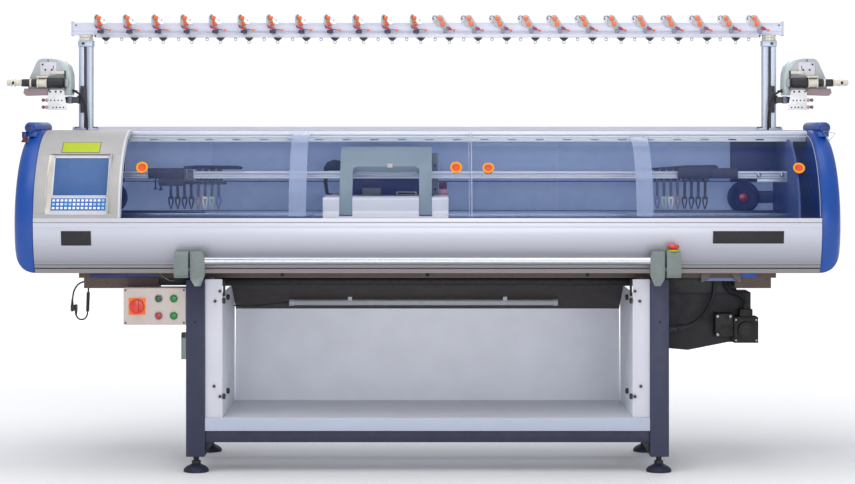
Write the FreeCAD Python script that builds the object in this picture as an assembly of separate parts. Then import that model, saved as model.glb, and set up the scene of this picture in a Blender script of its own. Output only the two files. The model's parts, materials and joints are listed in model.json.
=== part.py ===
"""Computerised flat knitting machine with a 66 inch bed, in millimetres.

Frame: origin on the floor under the middle of the machine, +X to the operator's
right, +Y to the rear, +Z up.  The upper body is a barrel: doors, front panel,
console and end caps share one axis along X, and angles round it run from the
rear (0) over the top (90) to the front (180).
"""
import FreeCAD, Part
import math
import os

from FreeCAD import Vector

# ---------------------------------------------------------------- driving sizes
SHEET = 2.5               # folded sheet metal
FIT = 0.3                 # gap where one piece is set against another
RUN = 0.8                 # gap round a sliding piece

# heights that the stand, the beds and the upper body share
BED_PEAK = 958.0          # top edge of both needle beds
BEAM_DROP = 28.0          # top of the bed beams below the bed's edge
BEAM_TALL = 214.0         # bed beam, from its top to the stand
BEAM_TOP = BED_PEAK - BEAM_DROP
BEAM_UNDER = BEAM_TOP - BEAM_TALL

# stand
LEG = 70.0                # square leg tube
LEG_X = 859.0             # leg centre
STAND_FRONT = -390.0
STAND_REAR = 220.0
LEG_FOOT = 59.0           # underside of the legs
RAIL_LOW = 111.0          # low rails
RAIL_HIGH = 44.0
FOOT_R = 47.0
STEM_R = 10.0
LEG_OUT = LEG_X + LEG / 2
LEG_IN = LEG_X - LEG / 2

# fabric bin
BIN_HALF = 760.0
BIN_FLOOR = 203.0
BIN_REAR = 172.0
BIN_TOP = BEAM_UNDER - 51
BEND_Y = 216.0            # fold between bin back and chute
BEND_Z = BEAM_UNDER - 156
CHUTE_Y = -74.0

# strip light under the chute
LAMP_X = (-542.0, 511.0)
LAMP_Y = 120.0
LAMP_Z = BEAM_UNDER - 124
LAMP_R = 11.0
LAMP_CAP = 18.0
LAMP_CLIP = 304.0         # clips, out from the middle

# needle beds and carriage ways; "off" values are distances from the bed gap
BED_HALF = 850.0
BED_GAP = 8.0
BED_RUN = 110.0           # how far a bed slopes down and out, at 45 degrees
BED_THICK = 24.0
TRICK_PITCH = 68.0        # grooves across the beds
TRICK_WIDE = 16.0
RACK_LIFT = 0.25          # running gap of the rear bed on its seat, along Y and Z
BEAM_IN = 25.0
BEAM_OUT = 200.0
BEAM_POCKET = 34.0        # room under the nose of the bed
WAY_OFF = 149.0
WAY_WIDE = 26.0

# barrel-shaped upper body
BARREL_R = 347.0          # outside of front panel and console
BARREL_Y = -104.0         # barrel axis; the needle-bed gap lies under it
BARREL_Z = BED_PEAK - 37
BODY_HALF = 1450.0        # half length between the end caps
CAP_WIDE = 70.0           # an end cap, measured along X
CAP_BEVEL = 14.0          # bevel of its outer edge
CAP_WALL = 24.0
CAP_CORNER = 60.0
CAP_OUT = BODY_HALF + CAP_WIDE
PANEL_LOW = BARREL_Z - 181          # lower edge of the front panel
PANEL_GROOVES = (9.0, -9.0, -138.0, -151.0, -161.0)     # heights above the barrel axis
BEAM_END = BODY_HALF - 80
BEAM_LOW_END = BEAM_END - 67
SIDE_PLATE = 8.0
SIDE_R = BARREL_R - 33
TRAY_LOW = BEAM_UNDER - 39
TRAY_INSET = 18.0         # cable trays, in from the low ends of the beams
TRAY_WIDE = (281.0, 135.0)
TRAY_X = ((TRAY_INSET - BEAM_LOW_END, TRAY_INSET + TRAY_WIDE[0] - BEAM_LOW_END),
          (BEAM_LOW_END - TRAY_INSET - TRAY_WIDE[1], BEAM_LOW_END - TRAY_INSET))
GAP_Y = BARREL_Y

# drums on the end caps
TENSIONER_R = 21.0
TENSIONER_X = BODY_HALF + 46
TENSIONER_Z = BARREL_Z + BARREL_R + 9
TENSIONER_Y = (-243.0, 152.0)

# take-down roller
TAKE_R = 18.0
TAKE_DROP = 26.0          # roller axis below the bed beams
TAKE_Z = BEAM_UNDER - TAKE_DROP
TAKE_HALF = 800.0
TAKE_NECK = 12.0

# yarn rails and carriers
YRAIL_LOW = BED_PEAK + 125
YRAIL_TALL = 28.0
YRAIL_THICK = 10.0
YRAIL_OFF = 32.0
CARRIER_PITCH = 26.0
CARRIER_WIDE = 22.0
CARRIER_SLIM = 6.0        # width of the arm below the slider
CARRIERS_EACH_SIDE = 8
CARRIER_LEFT = -BED_HALF - 131      # leftmost carrier of the left group
CARRIER_RIGHT = BED_HALF + 211      # rightmost carrier of the right group
TIP_LOW = BED_PEAK + 8
CHANNEL = 17.0            # half of the free channel over the bed gap

# carriage
CARRIAGE_X = -155.0
CARRIAGE_HALF = 233.0
ARCH_HALF = 171.0
ARCH_R = BARREL_R - 62
ARCH_THICK = 28.0
ARCH_LEG = 47.0
ARCH_WINDOW = 132.0       # angle of the window's upper edge
ARCH_CORNER = 14.0        # bevel of the window's upper corners
COVER_TOP = BED_PEAK + 61
COVER_LOW = BED_PEAK - 22
COVER_OUT = ARCH_R - 4    # front of the cover, from the bed gap
LEG_ROOM = 1.5815         # gap inside an arch leg where it passes through the cover

# belt drive behind the carriage
PULLEY_R = 60.0
PULLEY_X = BEAM_END - 122
PULLEY_Z = BED_PEAK + 45
PULLEY_ROOM = 11.0        # carriage cover to the pulleys
PULLEY_WIDE = 22.0
PULLEY_FRONT = GAP_Y + COVER_OUT + PULLEY_ROOM
PULLEY_REAR = PULLEY_FRONT + PULLEY_WIDE
REAR_ROOM = 28.0          # pulleys to the rear face of the body
CAP_REAR = PULLEY_REAR + REAR_ROOM
BELT_THICK = 3.0
AXLE_R = 8.0

# doors
DOOR_R = BARREL_R - 2     # outside of the left door
DOOR_THICK = 4.0
DOOR_STEP = 16.0          # the right door runs this much further in
DOOR_SPLIT = 165.0
DOOR_LAP = 12.0           # overlap of the two doors
DOOR_LOW = 175.4          # angle of the lower door edge
DOOR_HIGH = 91.0
CONSOLE_WIDE = 320.0      # console cover, in from the left end cap
CONSOLE_EDGE = CONSOLE_WIDE - BODY_HALF
LEFT_DOOR_X = (CONSOLE_EDGE + 1, DOOR_SPLIT)
RIGHT_DOOR_X = (DOOR_SPLIT - DOOR_LAP, BODY_HALF - 1)
RIGHT_DOOR_R = DOOR_R - DOOR_STEP
GRIP_ANGLE = 142.5
GRIP_R = 22.0
GRIP_DEEP = 7.0
GRIP_FLANGE = 1.8
GRIPS_LEFT = (LEFT_DOOR_X[0] + 72, LEFT_DOOR_X[1] - 59)
GRIPS_RIGHT = (RIGHT_DOOR_X[0] + 71, RIGHT_DOOR_X[1] - 73)
BAND_WIDE = 62.0          # stiffening band down the middle of each door

# top extrusion with the door tracks
TRACK_Y = (BARREL_Y - 16, BARREL_Y + 22)
WEB = 3.0                 # slotted web behind the tracks
WEB_TALL = 44.0           # web and tracks, measured down from the table
WEB_LOW = BARREL_Z + BARREL_R - WEB_TALL
STRIP_PITCH = 105.6
STRIP_SHIFT = 60.0

# console
BEZEL_INSET = 45.0        # bezel, in from the left end cap
BEZEL_WIDE = 245.0
BEZEL_X = (BEZEL_INSET - BODY_HALF, BEZEL_INSET + BEZEL_WIDE - BODY_HALF)
BEZEL_MID = 153.0         # angle of the middle of the bezel
BEZEL_RIM = 4.7           # frame left beyond the keypad's lower edge
BEZEL_PROUD = 5.0
SCREEN_X = (BEZEL_X[0] + 21, BEZEL_X[1] - 13)
SCREEN_ANGLES = (161.5, 136.5)
SCREEN_DEEP = 12.0
PANE = 6.0                # thickness of the display pane, and depth of the keypad's pocket
KEYPAD_X = (BEZEL_X[0] + 17, BEZEL_X[1] - 22)
KEYPAD_ANGLES = (172.0, 163.6)
KEY_STEP = (15.2, 14.5)
KEYS = (13, 3)            # columns and rows

# table, posts and top beam
TABLE_TOP = BARREL_Z + BARREL_R
TABLE_FRONT = -72.0
TABLE_PAST = 254.0        # table, out beyond the rear face
TABLE_REAR = CAP_REAR + TABLE_PAST
TABLE_LIP = 32.0
GUSSET_INSET = 250.0      # gussets, in from the end caps
GUSSET_TALL = 190.0
POST = 51.0
POST_INSET = 106.0        # post centre, in from the end caps
POST_X = BODY_HALF - POST_INSET
POST_Y = 160.0
POST_TALL = 374.0         # table to the underside of the top beam
BEAM_Z = TABLE_TOP + POST_TALL
TOP_BEAM_TALL = 48.0
TOP_BEAM_DEEP = 40.0
BEAM_PAST = 51.0          # top beam, out beyond the post centres
TOP_BEAM_HALF = POST_X + BEAM_PAST
EYELET_INSET = 95.0       # eyelet rail, in from the ends of the top beam
HANGER_INSET = 145.0
UNITS = 24
UNIT_INSET = 104.7        # middle of the last unit, in from the ends of the top beam
UNIT_PITCH = 2 * (TOP_BEAM_HALF - UNIT_INSET) / (UNITS - 1)
UNIT_TURN = 62.0
UNIT_PLATE = 6.0
UNIT_REACH = 36.0         # from a unit's middle to its low corner

# side feeders, measured on the right-hand one
FEED_INSET = 48.0         # inner side of the feeder, out from the post centre
FEED_WIDE = 164.0
FEED_RISE = 132.0         # underside of the feeder above the table
FEED_IN = POST_X + FEED_INSET
FEED_OUT = FEED_IN + FEED_WIDE
FEED_LOW = TABLE_TOP + FEED_RISE
FEED_TALL = 146.0
FEED_FRONT = POST_Y - 120
FEED_BACK = POST_Y - 10
ROLLER_Z = FEED_LOW + 51
ROLLER_Y = FEED_FRONT - 32
ROLLER_R = 19.0
FEED_TIP = FEED_OUT + 74

# start bar and stop button
BAR_R = 13.0
BAR_Y = BARREL_Y - BARREL_R - 19
BAR_Z = BARREL_Z - 131
BAR_PIVOT_Z = BAR_Z - 33
BAR_LEAF = (816.0, 868.0)
BAR_BOX = (BAR_LEAF[1] + 8, BAR_LEAF[1] + 60)
BAR_BOX_LOW = BAR_PIVOT_Z - 30
BAR_BOX_TOP = BAR_Z + 34
STOP_X = (BAR_BOX[0] + BAR_BOX[1]) / 2
STOP_Y = BAR_Y + 4
STOP_TRAVEL = 5.0
PIN_R = 7.0

# switch box
SWITCH_IN = -LEG_OUT
SWITCH_WIDE = 232.0
SWITCH_LOW = BEAM_UNDER - 169
SWITCH_TALL = 137.0
SWITCH_FRONT = STAND_FRONT + 5
SWITCH_DEEP = 85.0
KNOB_X = SWITCH_IN - 181
KNOB_Z = SWITCH_LOW + 69
BUTTON_X = (SWITCH_IN - 101, SWITCH_IN - 45)
BUTTON_Z = (SWITCH_LOW + 34, SWITCH_LOW + 98)
BUTTON_R = 10.5

# take-down motor and its guard
GUARD_FRONT = -205.0
GUARD_DEEP = 150.0
GUARD_WALL = 2.0
GUARD_WIDE = 328.0
GUARD_TALL = 263.0
GUARD_STEP = (106.0, 136.0, 45.0)    # start and end of the sloping shoulder, and its drop
GUARD_SLANT = (90.0, 86.0, 30.0)     # flat part, far end and rise of the slanting underside
GUARD_OUT = LEG_OUT + GUARD_WIDE
GUARD_TOP = BEAM_UNDER - 16
GUARD_LOW = GUARD_TOP - GUARD_TALL
MOTOR_X = GUARD_OUT - 30
MOTOR_Z = BEAM_UNDER - 196

# cables
CABLE_SIDES = 6
CABLE_STEP = 32.0         # largest turn of one chord, in degrees
PLUG = (13.0, 12.0, 26.0)
PLUG_PLACES = ((-1340.0, -268.0, 588.0), (-1327.0, -268.0, 588.0))
FEEDER_CABLE = [(1392, 100, 1422), (1372, 100, 1419), (1351, 101, 1396), (1340, 104, 1364),
                (1335, 106, 1330), (1333, 107, 1298), (1334, 107, 1268)]
LAMP_CABLE = [(-542, 120, 592), (-600, 120, 588), (-680, 120, 577), (-760, 120, 580)]
DRIVE_HOSE = [(894.3, -345, 531), (926, -345, 531), (966, -327, 537), (1006, -294, 553),
              (1042, -263, 581), (1068, -245, 622), (1082, -238, 668), (1082, -238, 715.7)]
MOTOR_CONDUIT = [(1120, -243, 715.7), (1120, -243, 692), (1135, -243, 664), (1181, -243, 649),
                 (1196, -243, 621), (1196, -243, 596.3)]
HANGING_DROP = [(-1285, -262, 700), (-1304, -262, 697), (-1324, -262, 676), (-1333, -262, 646),
                (-1334, -262, 614)]
HANGING_LOOP = [(-1320, -262, 588), (-1320, -262, 570), (-1308, -262, 557), (-1290, -262, 557),
                (-1278, -262, 570), (-1276, -262, 594), (-1275, -262, 634), (-1273, -262, 677)]


# ---------------------------------------------------------------- shape helpers
def box(x, y, z):
    """Block between three (low, high) pairs."""
    return Part.makeBox(x[1] - x[0], y[1] - y[0], z[1] - z[0], Vector(x[0], y[0], z[0]))


def rod_x(x, y, z, radius):
    return Part.makeCylinder(radius, x[1] - x[0], Vector(x[0], y, z), Vector(1, 0, 0))


def rod_y(x, y, z, radius):
    return Part.makeCylinder(radius, y[1] - y[0], Vector(x, y[0], z), Vector(0, 1, 0))


def prism_x(outline, x):
    """Side outline of (y, z) points, run along X."""
    points = [Vector(x[0], y, z) for y, z in outline]
    face = Part.Face(Part.makePolygon(points + points[:1]))
    return face.extrude(Vector(x[1] - x[0], 0, 0))


def prism_y(outline, y):
    """Front outline of (x, z) points, run along Y."""
    points = [Vector(px, y[0], pz) for px, pz in outline]
    face = Part.Face(Part.makePolygon(points + points[:1]))
    return face.extrude(Vector(0, y[1] - y[0], 0))


def on_barrel(radius, angle, x=0.0):
    turn = math.radians(angle)
    return Vector(x, BARREL_Y + radius * math.cos(turn), BARREL_Z + radius * math.sin(turn))


def barrel_arc(radius, start, end, x):
    half_way = (start + end) / 2
    return Part.Arc(on_barrel(radius, start, x), on_barrel(radius, half_way, x),
                    on_barrel(radius, end, x)).toShape()


def middle(span):
    return (span[0] + span[1]) / 2


def barrel_band(outer, thick, start, end, x):
    """Curved plate between two angles round the barrel axis."""
    inner = outer - thick
    edges = [barrel_arc(outer, start, end, x[0]),
             Part.makeLine(on_barrel(outer, end, x[0]), on_barrel(inner, end, x[0])),
             barrel_arc(inner, end, start, x[0]),
             Part.makeLine(on_barrel(inner, start, x[0]), on_barrel(outer, start, x[0]))]
    return Part.Face(Part.Wire(edges)).extrude(Vector(x[1] - x[0], 0, 0))


def barrel_drum(radius, x):
    return rod_x(x, BARREL_Y, BARREL_Z, radius)


def set_on_barrel(shape, angle, x):
    """Move a shape made round the origin, outward = +Z, onto the barrel at an angle."""
    placed = shape.copy()
    placed.rotate(Vector(0, 0, 0), Vector(1, 0, 0), angle - 90)
    placed.translate(on_barrel(0, 0, x))
    return placed


def polyhedron(rings):
    """Closed solid through rings of matching corners, with flat ends."""
    faces = [Part.Face(Part.makePolygon(ring + ring[:1])) for ring in (rings[0], rings[-1])]
    for low, high in zip(rings, rings[1:]):
        for i in range(len(low)):
            k = (i + 1) % len(low)
            faces.append(Part.Face(Part.makePolygon([low[i], low[k], high[k], high[i], low[i]])))
    solid = Part.Solid(Part.Shell(faces))
    return solid if solid.Volume > 0 else solid.reversed()


def ring(radius, sides, height):
    """Corners of a regular polygon round Z at a height."""
    turns = [2 * math.pi * (i + 0.5) / sides for i in range(sides)]
    return [Vector(radius * math.cos(turn), radius * math.sin(turn), height) for turn in turns]


def turned(outline, sides, place=(0, 0, 0), axis=(0, 0, 1)):
    """Small turned piece: flat-sided rings at (radius, height) steps along an axis."""
    piece = polyhedron([ring(radius, sides, height) for radius, height in outline])
    piece.Placement = FreeCAD.Placement(Vector(*place), FreeCAD.Rotation(Vector(0, 0, 1), Vector(*axis)))
    return piece


def both_sides(shape):
    return [shape, shape.mirror(Vector(0, 0, 0), Vector(1, 0, 0))]


def both_beds(shape):
    """The front piece and its mirror image behind the bed gap."""
    return [shape, shape.mirror(Vector(0, GAP_Y, 0), Vector(0, 1, 0))]


def fuse(shapes):
    whole = shapes[0].multiFuse(shapes[1:]) if len(shapes) > 1 else shapes[0]
    return whole.removeSplitter()


def group(shapes):
    return Part.makeCompound(shapes)


def edges_at_x(shape, x):
    """Edges that lie in one plane square to X."""
    return [e for e in shape.Edges if abs(e.BoundBox.XMin - x) < 0.01 and abs(e.BoundBox.XMax - x) < 0.01]


def front(off):
    """Y of a place in front of the bed gap."""
    return GAP_Y - off


def angle_at_height(radius, z):
    """Angle in the front half of the barrel at a height."""
    return 180 - math.degrees(math.asin((z - BARREL_Z) / radius))


# ---------------------------------------------------------------- stand and bin
def base_frame():
    """Four box-tube legs with low rails all round and top rails under the bed beams."""
    members = []
    rear_leg = (STAND_REAR - LEG, STAND_REAR)
    front_leg = (STAND_FRONT, STAND_FRONT + LEG)
    low = (RAIL_LOW, RAIL_LOW + RAIL_HIGH)
    for side in (-1, 1):
        leg_x = sorted((side * LEG_IN, side * LEG_OUT))
        rail_x = sorted((side * (LEG_X - LEG / 4), side * (LEG_X + LEG / 4)))
        for leg_y in (front_leg, rear_leg):
            members.append(box(leg_x, leg_y, (LEG_FOOT, BEAM_UNDER)))
        between = (front_leg[1], rear_leg[0])
        members.append(box(rail_x, between, low))
        members.append(box(leg_x, between, (BEAM_UNDER - LEG, BEAM_UNDER)))
    for leg_y in (front_leg, rear_leg):
        rail_y = (leg_y[0] + LEG / 5, leg_y[1] - LEG / 5)
        members.append(box((-LEG_IN, LEG_IN), rail_y, low))
    return fuse(members)


def levelling_feet():
    """Domed cast feet on threaded stems with a lock nut under each leg."""
    feet = []
    for x in (-LEG_X, LEG_X):
        for y in (STAND_FRONT + LEG / 2, STAND_REAR - LEG / 2):
            dome = turned([(FOOT_R, 0), (FOOT_R, 8), (FOOT_R * 0.8, 18), (FOOT_R * 0.42, 31)], 12, (x, y, 0))
            nut = turned([(STEM_R + 8, 31), (STEM_R + 8, 43)], 6, (x, y, 0))
            stem = turned([(STEM_R, 43), (STEM_R, LEG_FOOT)], 8, (x, y, 0))
            feet.append(fuse([dome, nut, stem]))
    return group(feet)


def bin_floor():
    """Tray that catches the knitted fabric, with a deep lip between the front legs."""
    wall_in = BIN_HALF - FIT
    tray = box((-wall_in, wall_in), (STAND_FRONT + 2, BIN_REAR), (BIN_FLOOR - SHEET, BIN_FLOOR))
    lip = box((-LEG_IN + FIT, LEG_IN - FIT), (STAND_FRONT + 2, STAND_FRONT + 2 + SHEET),
              (RAIL_LOW + RAIL_HIGH, BIN_FLOOR))
    return fuse([tray, lip])


def bin_sides():
    """Folded side walls: a wall along the bin and a flange across to the leg."""
    wall = box((BIN_HALF, BIN_HALF + SHEET), (STAND_FRONT + 8, BIN_REAR), (RAIL_LOW + RAIL_HIGH, BIN_TOP))
    flange = box((BIN_HALF, LEG_IN), (STAND_FRONT + 8, STAND_FRONT + 8 + SHEET),
                 (RAIL_LOW + RAIL_HIGH, BEAM_UNDER))
    side = fuse([wall, flange])
    return group(both_sides(side))


def chute_panel():
    """One folded sheet: the leaning bin back, then the chute under the rear bed beam."""
    half = BIN_HALF - FIT
    outer = [(BIN_REAR, BIN_FLOOR - SHEET), (BEND_Y, BEND_Z), (CHUTE_Y, BEAM_UNDER - 4),
             (CHUTE_Y, BEAM_UNDER), (CHUTE_Y + 14, BEAM_UNDER), (CHUTE_Y + 14, BEAM_UNDER - 4),
             (BEND_Y + SHEET * 1.2, BEND_Z + SHEET * 0.8), (BIN_REAR + SHEET, BIN_FLOOR - SHEET)]
    return prism_x(outer, (-half, half))


def panel_screws():
    """Thumb screws on the bin flanges and cap screws in the front bed beam."""
    screws = []
    places = ((BIN_HALF + 26, BEAM_UNDER - 81), (BIN_HALF + 30, BIN_FLOOR + 117),
              (BIN_HALF + 8, BIN_FLOOR + 79), (BIN_HALF + 8, BEAM_UNDER - 44))
    for x, z in places:
        screws += both_sides(turned([(6, 0), (6, 8)], 6, (x, STAND_FRONT, z), (0, 1, 0)))
    for x in (LAMP_X[0], 0, LAMP_X[1] + 87):
        place = (x, front(BEAM_OUT), BEAM_UNDER + 11)
        screws.append(turned([(6, 0), (6, 5)], 6, place, (0, -1, 0)))
    return group(screws)


def lamp():
    """Strip light clipped under the chute: housing, round tube cover and end caps."""
    x, y, z = LAMP_X, LAMP_Y, LAMP_Z
    length = x[1] - x[0]
    tube = turned([(LAMP_R, LAMP_CAP), (LAMP_R, length - LAMP_CAP)], 12, (x[0], y, z), (1, 0, 0))
    cap = [(LAMP_R + 2, 0), (LAMP_R + 2, LAMP_CAP)]
    ends = [turned(cap, 12, (end, y, z), (1, 0, 0)) for end in (x[0], x[1] - LAMP_CAP)]
    slope = (BEAM_UNDER - 4 - BEND_Z) / (CHUTE_Y - BEND_Y)
    seat = BEND_Z + slope * (y - BEND_Y)
    clips = []
    for clip_x in (-LAMP_CLIP, LAMP_CLIP):
        sides = [(y - 8, z), (y + 8, z), (y + 8, seat + 8 * slope), (y - 8, seat - 8 * slope)]
        clip = prism_x(sides, (clip_x - 8, clip_x + 8))
        clips.append(clip.cut(tube))
    return group([tube] + ends + clips)


# ---------------------------------------------------------------- bed beams and ways
def bed_beam():
    """Front beam: flat way on the outside, sloping seat for the needle bed inside."""
    run_end = 4 + BED_RUN
    nose = run_end - BED_THICK * math.sin(math.radians(45))
    seat = BED_PEAK - BED_RUN - BED_THICK * math.sin(math.radians(45))
    pocket = BEAM_POCKET + nose + 3
    corners = [(BEAM_IN, BEAM_UNDER), (BEAM_IN, seat + nose - BEAM_IN), (nose, seat), (nose + 3, seat + 3),
               (pocket, seat + 3), (pocket, BEAM_TOP), (BEAM_OUT, BEAM_TOP), (BEAM_OUT, BEAM_UNDER)]
    beam = prism_x([(front(off), z) for off, z in corners], (-BEAM_END, BEAM_END))
    step = box((BEAM_LOW_END, BEAM_END + 1), (front(BEAM_OUT) - 1, front(BEAM_IN) + 1),
               (BEAM_UNDER - 1, PANEL_LOW + 2))
    return beam.cut(both_sides(step))


def front_bed_beam():
    """Front beam with the cable trays that hang under its two ends."""
    trays = []
    for x in TRAY_X:
        trays.append(box(x, (front(BEAM_OUT) + 6, front(BEAM_OUT) + 70), (TRAY_LOW, BEAM_UNDER)))
    return fuse([bed_beam()] + trays)


def rear_bed_beam():
    """Rear beam with the two bearing blocks of the take-down roller."""
    beam = both_beds(bed_beam())[1]
    blocks = []
    for x in ((-TAKE_HALF - 14, -TAKE_HALF - FIT), (TAKE_HALF + FIT, TAKE_HALF + 14)):
        block = box(x, (GAP_Y - 24, GAP_Y + 40), (TAKE_Z - 24, BEAM_UNDER))
        blocks.append(block.cut(rod_x((x[0] - 1, x[1] + 1), GAP_Y, TAKE_Z, AXLE_R + 0.1)))
    return fuse([beam] + blocks)


def needle_bed():
    """Sloping steel bed with needle tricks cut across its upper face."""
    inner = BED_GAP / 2
    drop = BED_THICK * math.sin(math.radians(45))
    corners = [(inner, BED_PEAK), (inner + BED_RUN, BED_PEAK - BED_RUN),
               (inner + BED_RUN - drop, BED_PEAK - BED_RUN - drop), (inner, BED_PEAK - 2 * drop)]
    bed = prism_x([(front(off), z) for off, z in corners], (-BED_HALF, BED_HALF))
    tricks = []
    count = int(2 * BED_HALF / TRICK_PITCH) - 1
    for i in range(count):
        x = (i - (count - 1) / 2) * TRICK_PITCH
        groove = box((x - TRICK_WIDE / 2, x + TRICK_WIDE / 2), (front(inner + BED_RUN), front(inner + 22)),
                     (BED_PEAK - 2 * BED_RUN, BED_PEAK + BED_RUN))
        tricks.append(groove)
    slab_corners = [(inner + 22, BED_PEAK - 22 + 1), (inner + BED_RUN - 20, BED_PEAK - BED_RUN + 20 + 1),
                    (inner + BED_RUN - 22, BED_PEAK - BED_RUN + 18), (inner + 20, BED_PEAK - 24)]
    slab = prism_x([(front(off), z) for off, z in slab_corners], (-BED_HALF - 1, BED_HALF + 1))
    return bed.cut(group(tricks).common(slab))


def rear_needle_bed():
    """The racking bed: a mirror image of the front one, lifted clear of its seat."""
    bed = both_beds(needle_bed())[1].copy()
    bed.translate(Vector(0, RACK_LIFT, RACK_LIFT))
    return bed


def carriage_rails():
    """Ground rail on each bed beam, front and rear."""
    rail = box((-BEAM_END, BEAM_END), (front(WAY_OFF + WAY_WIDE / 2), front(WAY_OFF - WAY_WIDE / 2)),
               (BEAM_TOP, BEAM_TOP + WAY_WIDE))
    rail = rail.makeChamfer(3, edges_along_x(rail, BEAM_TOP + WAY_WIDE))
    return group(both_beds(rail))


def edges_along_x(shape, z):
    return [e for e in shape.Edges
            if abs(e.BoundBox.ZMin - z) < 0.01 and abs(e.BoundBox.ZMax - z) < 0.01 and e.Length > BEAM_END]


def side_frames():
    """Inner end plates joining beams, rails and table, with the belt pulley brackets."""
    plates = []
    start = math.degrees(math.asin((BARREL_Z - PANEL_LOW - 2) / SIDE_R)) + 180
    low = on_barrel(SIDE_R, start)
    high = on_barrel(SIDE_R, 96)
    notch = (TRACK_Y[0] - FIT, TRACK_Y[1] + WEB + FIT)
    for side in (-1, 1):
        x = sorted((side * BEAM_END, side * (BEAM_END + SIDE_PLATE)))
        edge = [barrel_arc(SIDE_R, start, 96, x[0])]
        corners = [(high.y, high.z), (notch[0], WEB_LOW - FIT), (notch[1], WEB_LOW - FIT),
                   (notch[1], TABLE_TOP - SHEET), (CAP_REAR - SHEET, TABLE_TOP - SHEET),
                   (CAP_REAR - SHEET, low.z), (low.y, low.z)]
        for a, b in zip(corners, corners[1:]):
            edge.append(Part.makeLine(Vector(x[0], *a), Vector(x[0], *b)))
        plate = Part.Face(Part.Wire(edge)).extrude(Vector(SIDE_PLATE, 0, 0))
        arm_x = sorted((side * (PULLEY_X - 22), side * BEAM_END))
        arm = box(arm_x, (PULLEY_REAR + 4, CAP_REAR - SHEET), (PULLEY_Z - 24, PULLEY_Z + 24))
        long = PULLEY_REAR - PULLEY_FRONT + 8
        place = (side * PULLEY_X, PULLEY_FRONT - 4, PULLEY_Z)
        axle = turned([(AXLE_R, 0), (AXLE_R, long)], 12, place, (0, 1, 0))
        plates.append(fuse([plate, arm, axle]))
    return group(plates)


def yarn_rails():
    """Two rails that carry the yarn carriers, each with a groove in both faces."""
    rails = []
    for y in (GAP_Y - YRAIL_OFF, GAP_Y + YRAIL_OFF):
        rail = box((-BEAM_END, BEAM_END), (y - YRAIL_THICK / 2, y + YRAIL_THICK / 2),
                   (YRAIL_LOW, YRAIL_LOW + YRAIL_TALL))
        line = YRAIL_LOW + YRAIL_TALL / 2
        for face in (y - YRAIL_THICK / 2, y + YRAIL_THICK / 2):
            groove = box((-BEAM_END, BEAM_END), (face - 1.5, face + 1.5), (line - 4, line + 4))
            rail = rail.cut(groove)
        rails.append(rail)
    return group(rails)


# ---------------------------------------------------------------- barrel covers
def front_panel():
    """Extruded aluminium cover: barrel curve, grooves, door ledge and bottom flange."""
    length = (-BODY_HALF + FIT, BODY_HALF - FIT)
    top = angle_at_height(BARREL_R, BARREL_Z + 24)
    bottom = 180 + math.degrees(math.asin((BARREL_Z - PANEL_LOW) / BARREL_R))
    skin = barrel_band(BARREL_R, SHEET, top, bottom, length)
    ledge = barrel_band(BARREL_R, BARREL_R - SIDE_R - FIT, top, top + 0.4, length)
    low = on_barrel(BARREL_R - SHEET / 2, bottom)
    flange = box(length, (low.y, front(BEAM_OUT)), (PANEL_LOW - 0.5, PANEL_LOW + 2))
    grooves = []
    for height in PANEL_GROOVES:
        angle = angle_at_height(BARREL_R, BARREL_Z + height)
        grooves.append(barrel_band(BARREL_R + 1, 2.2, angle, angle + 0.4, length))
    return fuse([skin.cut(grooves), ledge, flange])


def cap_outline(radius, rear, bottom_trim, x):
    """D-shaped side outline of the body as a face."""
    bottom = BARREL_Z - PANEL_LOW - bottom_trim
    start = 180 + math.degrees(math.asin(bottom / radius))
    low = on_barrel(radius, start, x)
    corner = CAP_CORNER - (BARREL_R - radius)
    top = BARREL_Z + radius
    base = BARREL_Z - bottom
    edges = [barrel_arc(radius, start, 90, x),
             Part.makeLine(on_barrel(radius, 90, x), Vector(x, rear - corner, top)),
             Part.Arc(Vector(x, rear - corner, top),
                      Vector(x, rear - corner + corner * math.sin(math.radians(45)),
                             top - corner + corner * math.cos(math.radians(45))),
                      Vector(x, rear, top - corner)).toShape(),
             Part.makeLine(Vector(x, rear, top - corner), Vector(x, rear, base)),
             Part.makeLine(Vector(x, rear, base), low)]
    return Part.Face(Part.Wire(edges))


def end_cap():
    """Right-hand moulded end cap, hollow behind, with a seat for the side tensioner."""
    solid = cap_outline(BARREL_R, CAP_REAR, 0, BODY_HALF).extrude(Vector(CAP_WIDE, 0, 0))
    solid = solid.makeChamfer(CAP_BEVEL, edges_at_x(solid, CAP_OUT))
    inner = BARREL_R - CAP_WALL
    curve = [on_barrel(inner, angle) for angle in range(90, 205, 16)]
    rear = CAP_REAR - CAP_WALL
    corners = [(p.y, p.z) for p in curve] + [(rear, curve[-1].z), (rear, BARREL_Z + inner - CAP_CORNER),
                                             (rear - CAP_CORNER, BARREL_Z + inner)]
    hollow = prism_x(corners, (BODY_HALF - 1, CAP_OUT - CAP_WALL / 2))
    seat = tensioner_barrel(TENSIONER_R + FIT)
    return solid.cut([hollow, seat])


def tensioner_barrel(radius):
    return tensioner_step(radius, 0, TENSIONER_Y[1] - TENSIONER_Y[0])


def tensioner_step(radius, start, end):
    place = (TENSIONER_X, TENSIONER_Y[0], TENSIONER_Z)
    return turned([(radius, start), (radius, end)], 16, place, (0, 1, 0))


def end_caps():
    return group(both_sides(end_cap()))


def side_tensioners():
    """Blue drum along the top of each end cap, with a collar and end boss."""
    drum = tensioner_barrel(TENSIONER_R)
    boss = tensioner_step(TENSIONER_R - 6, -6, 0)
    body = fuse([drum, boss])
    return group(both_sides(body))


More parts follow.
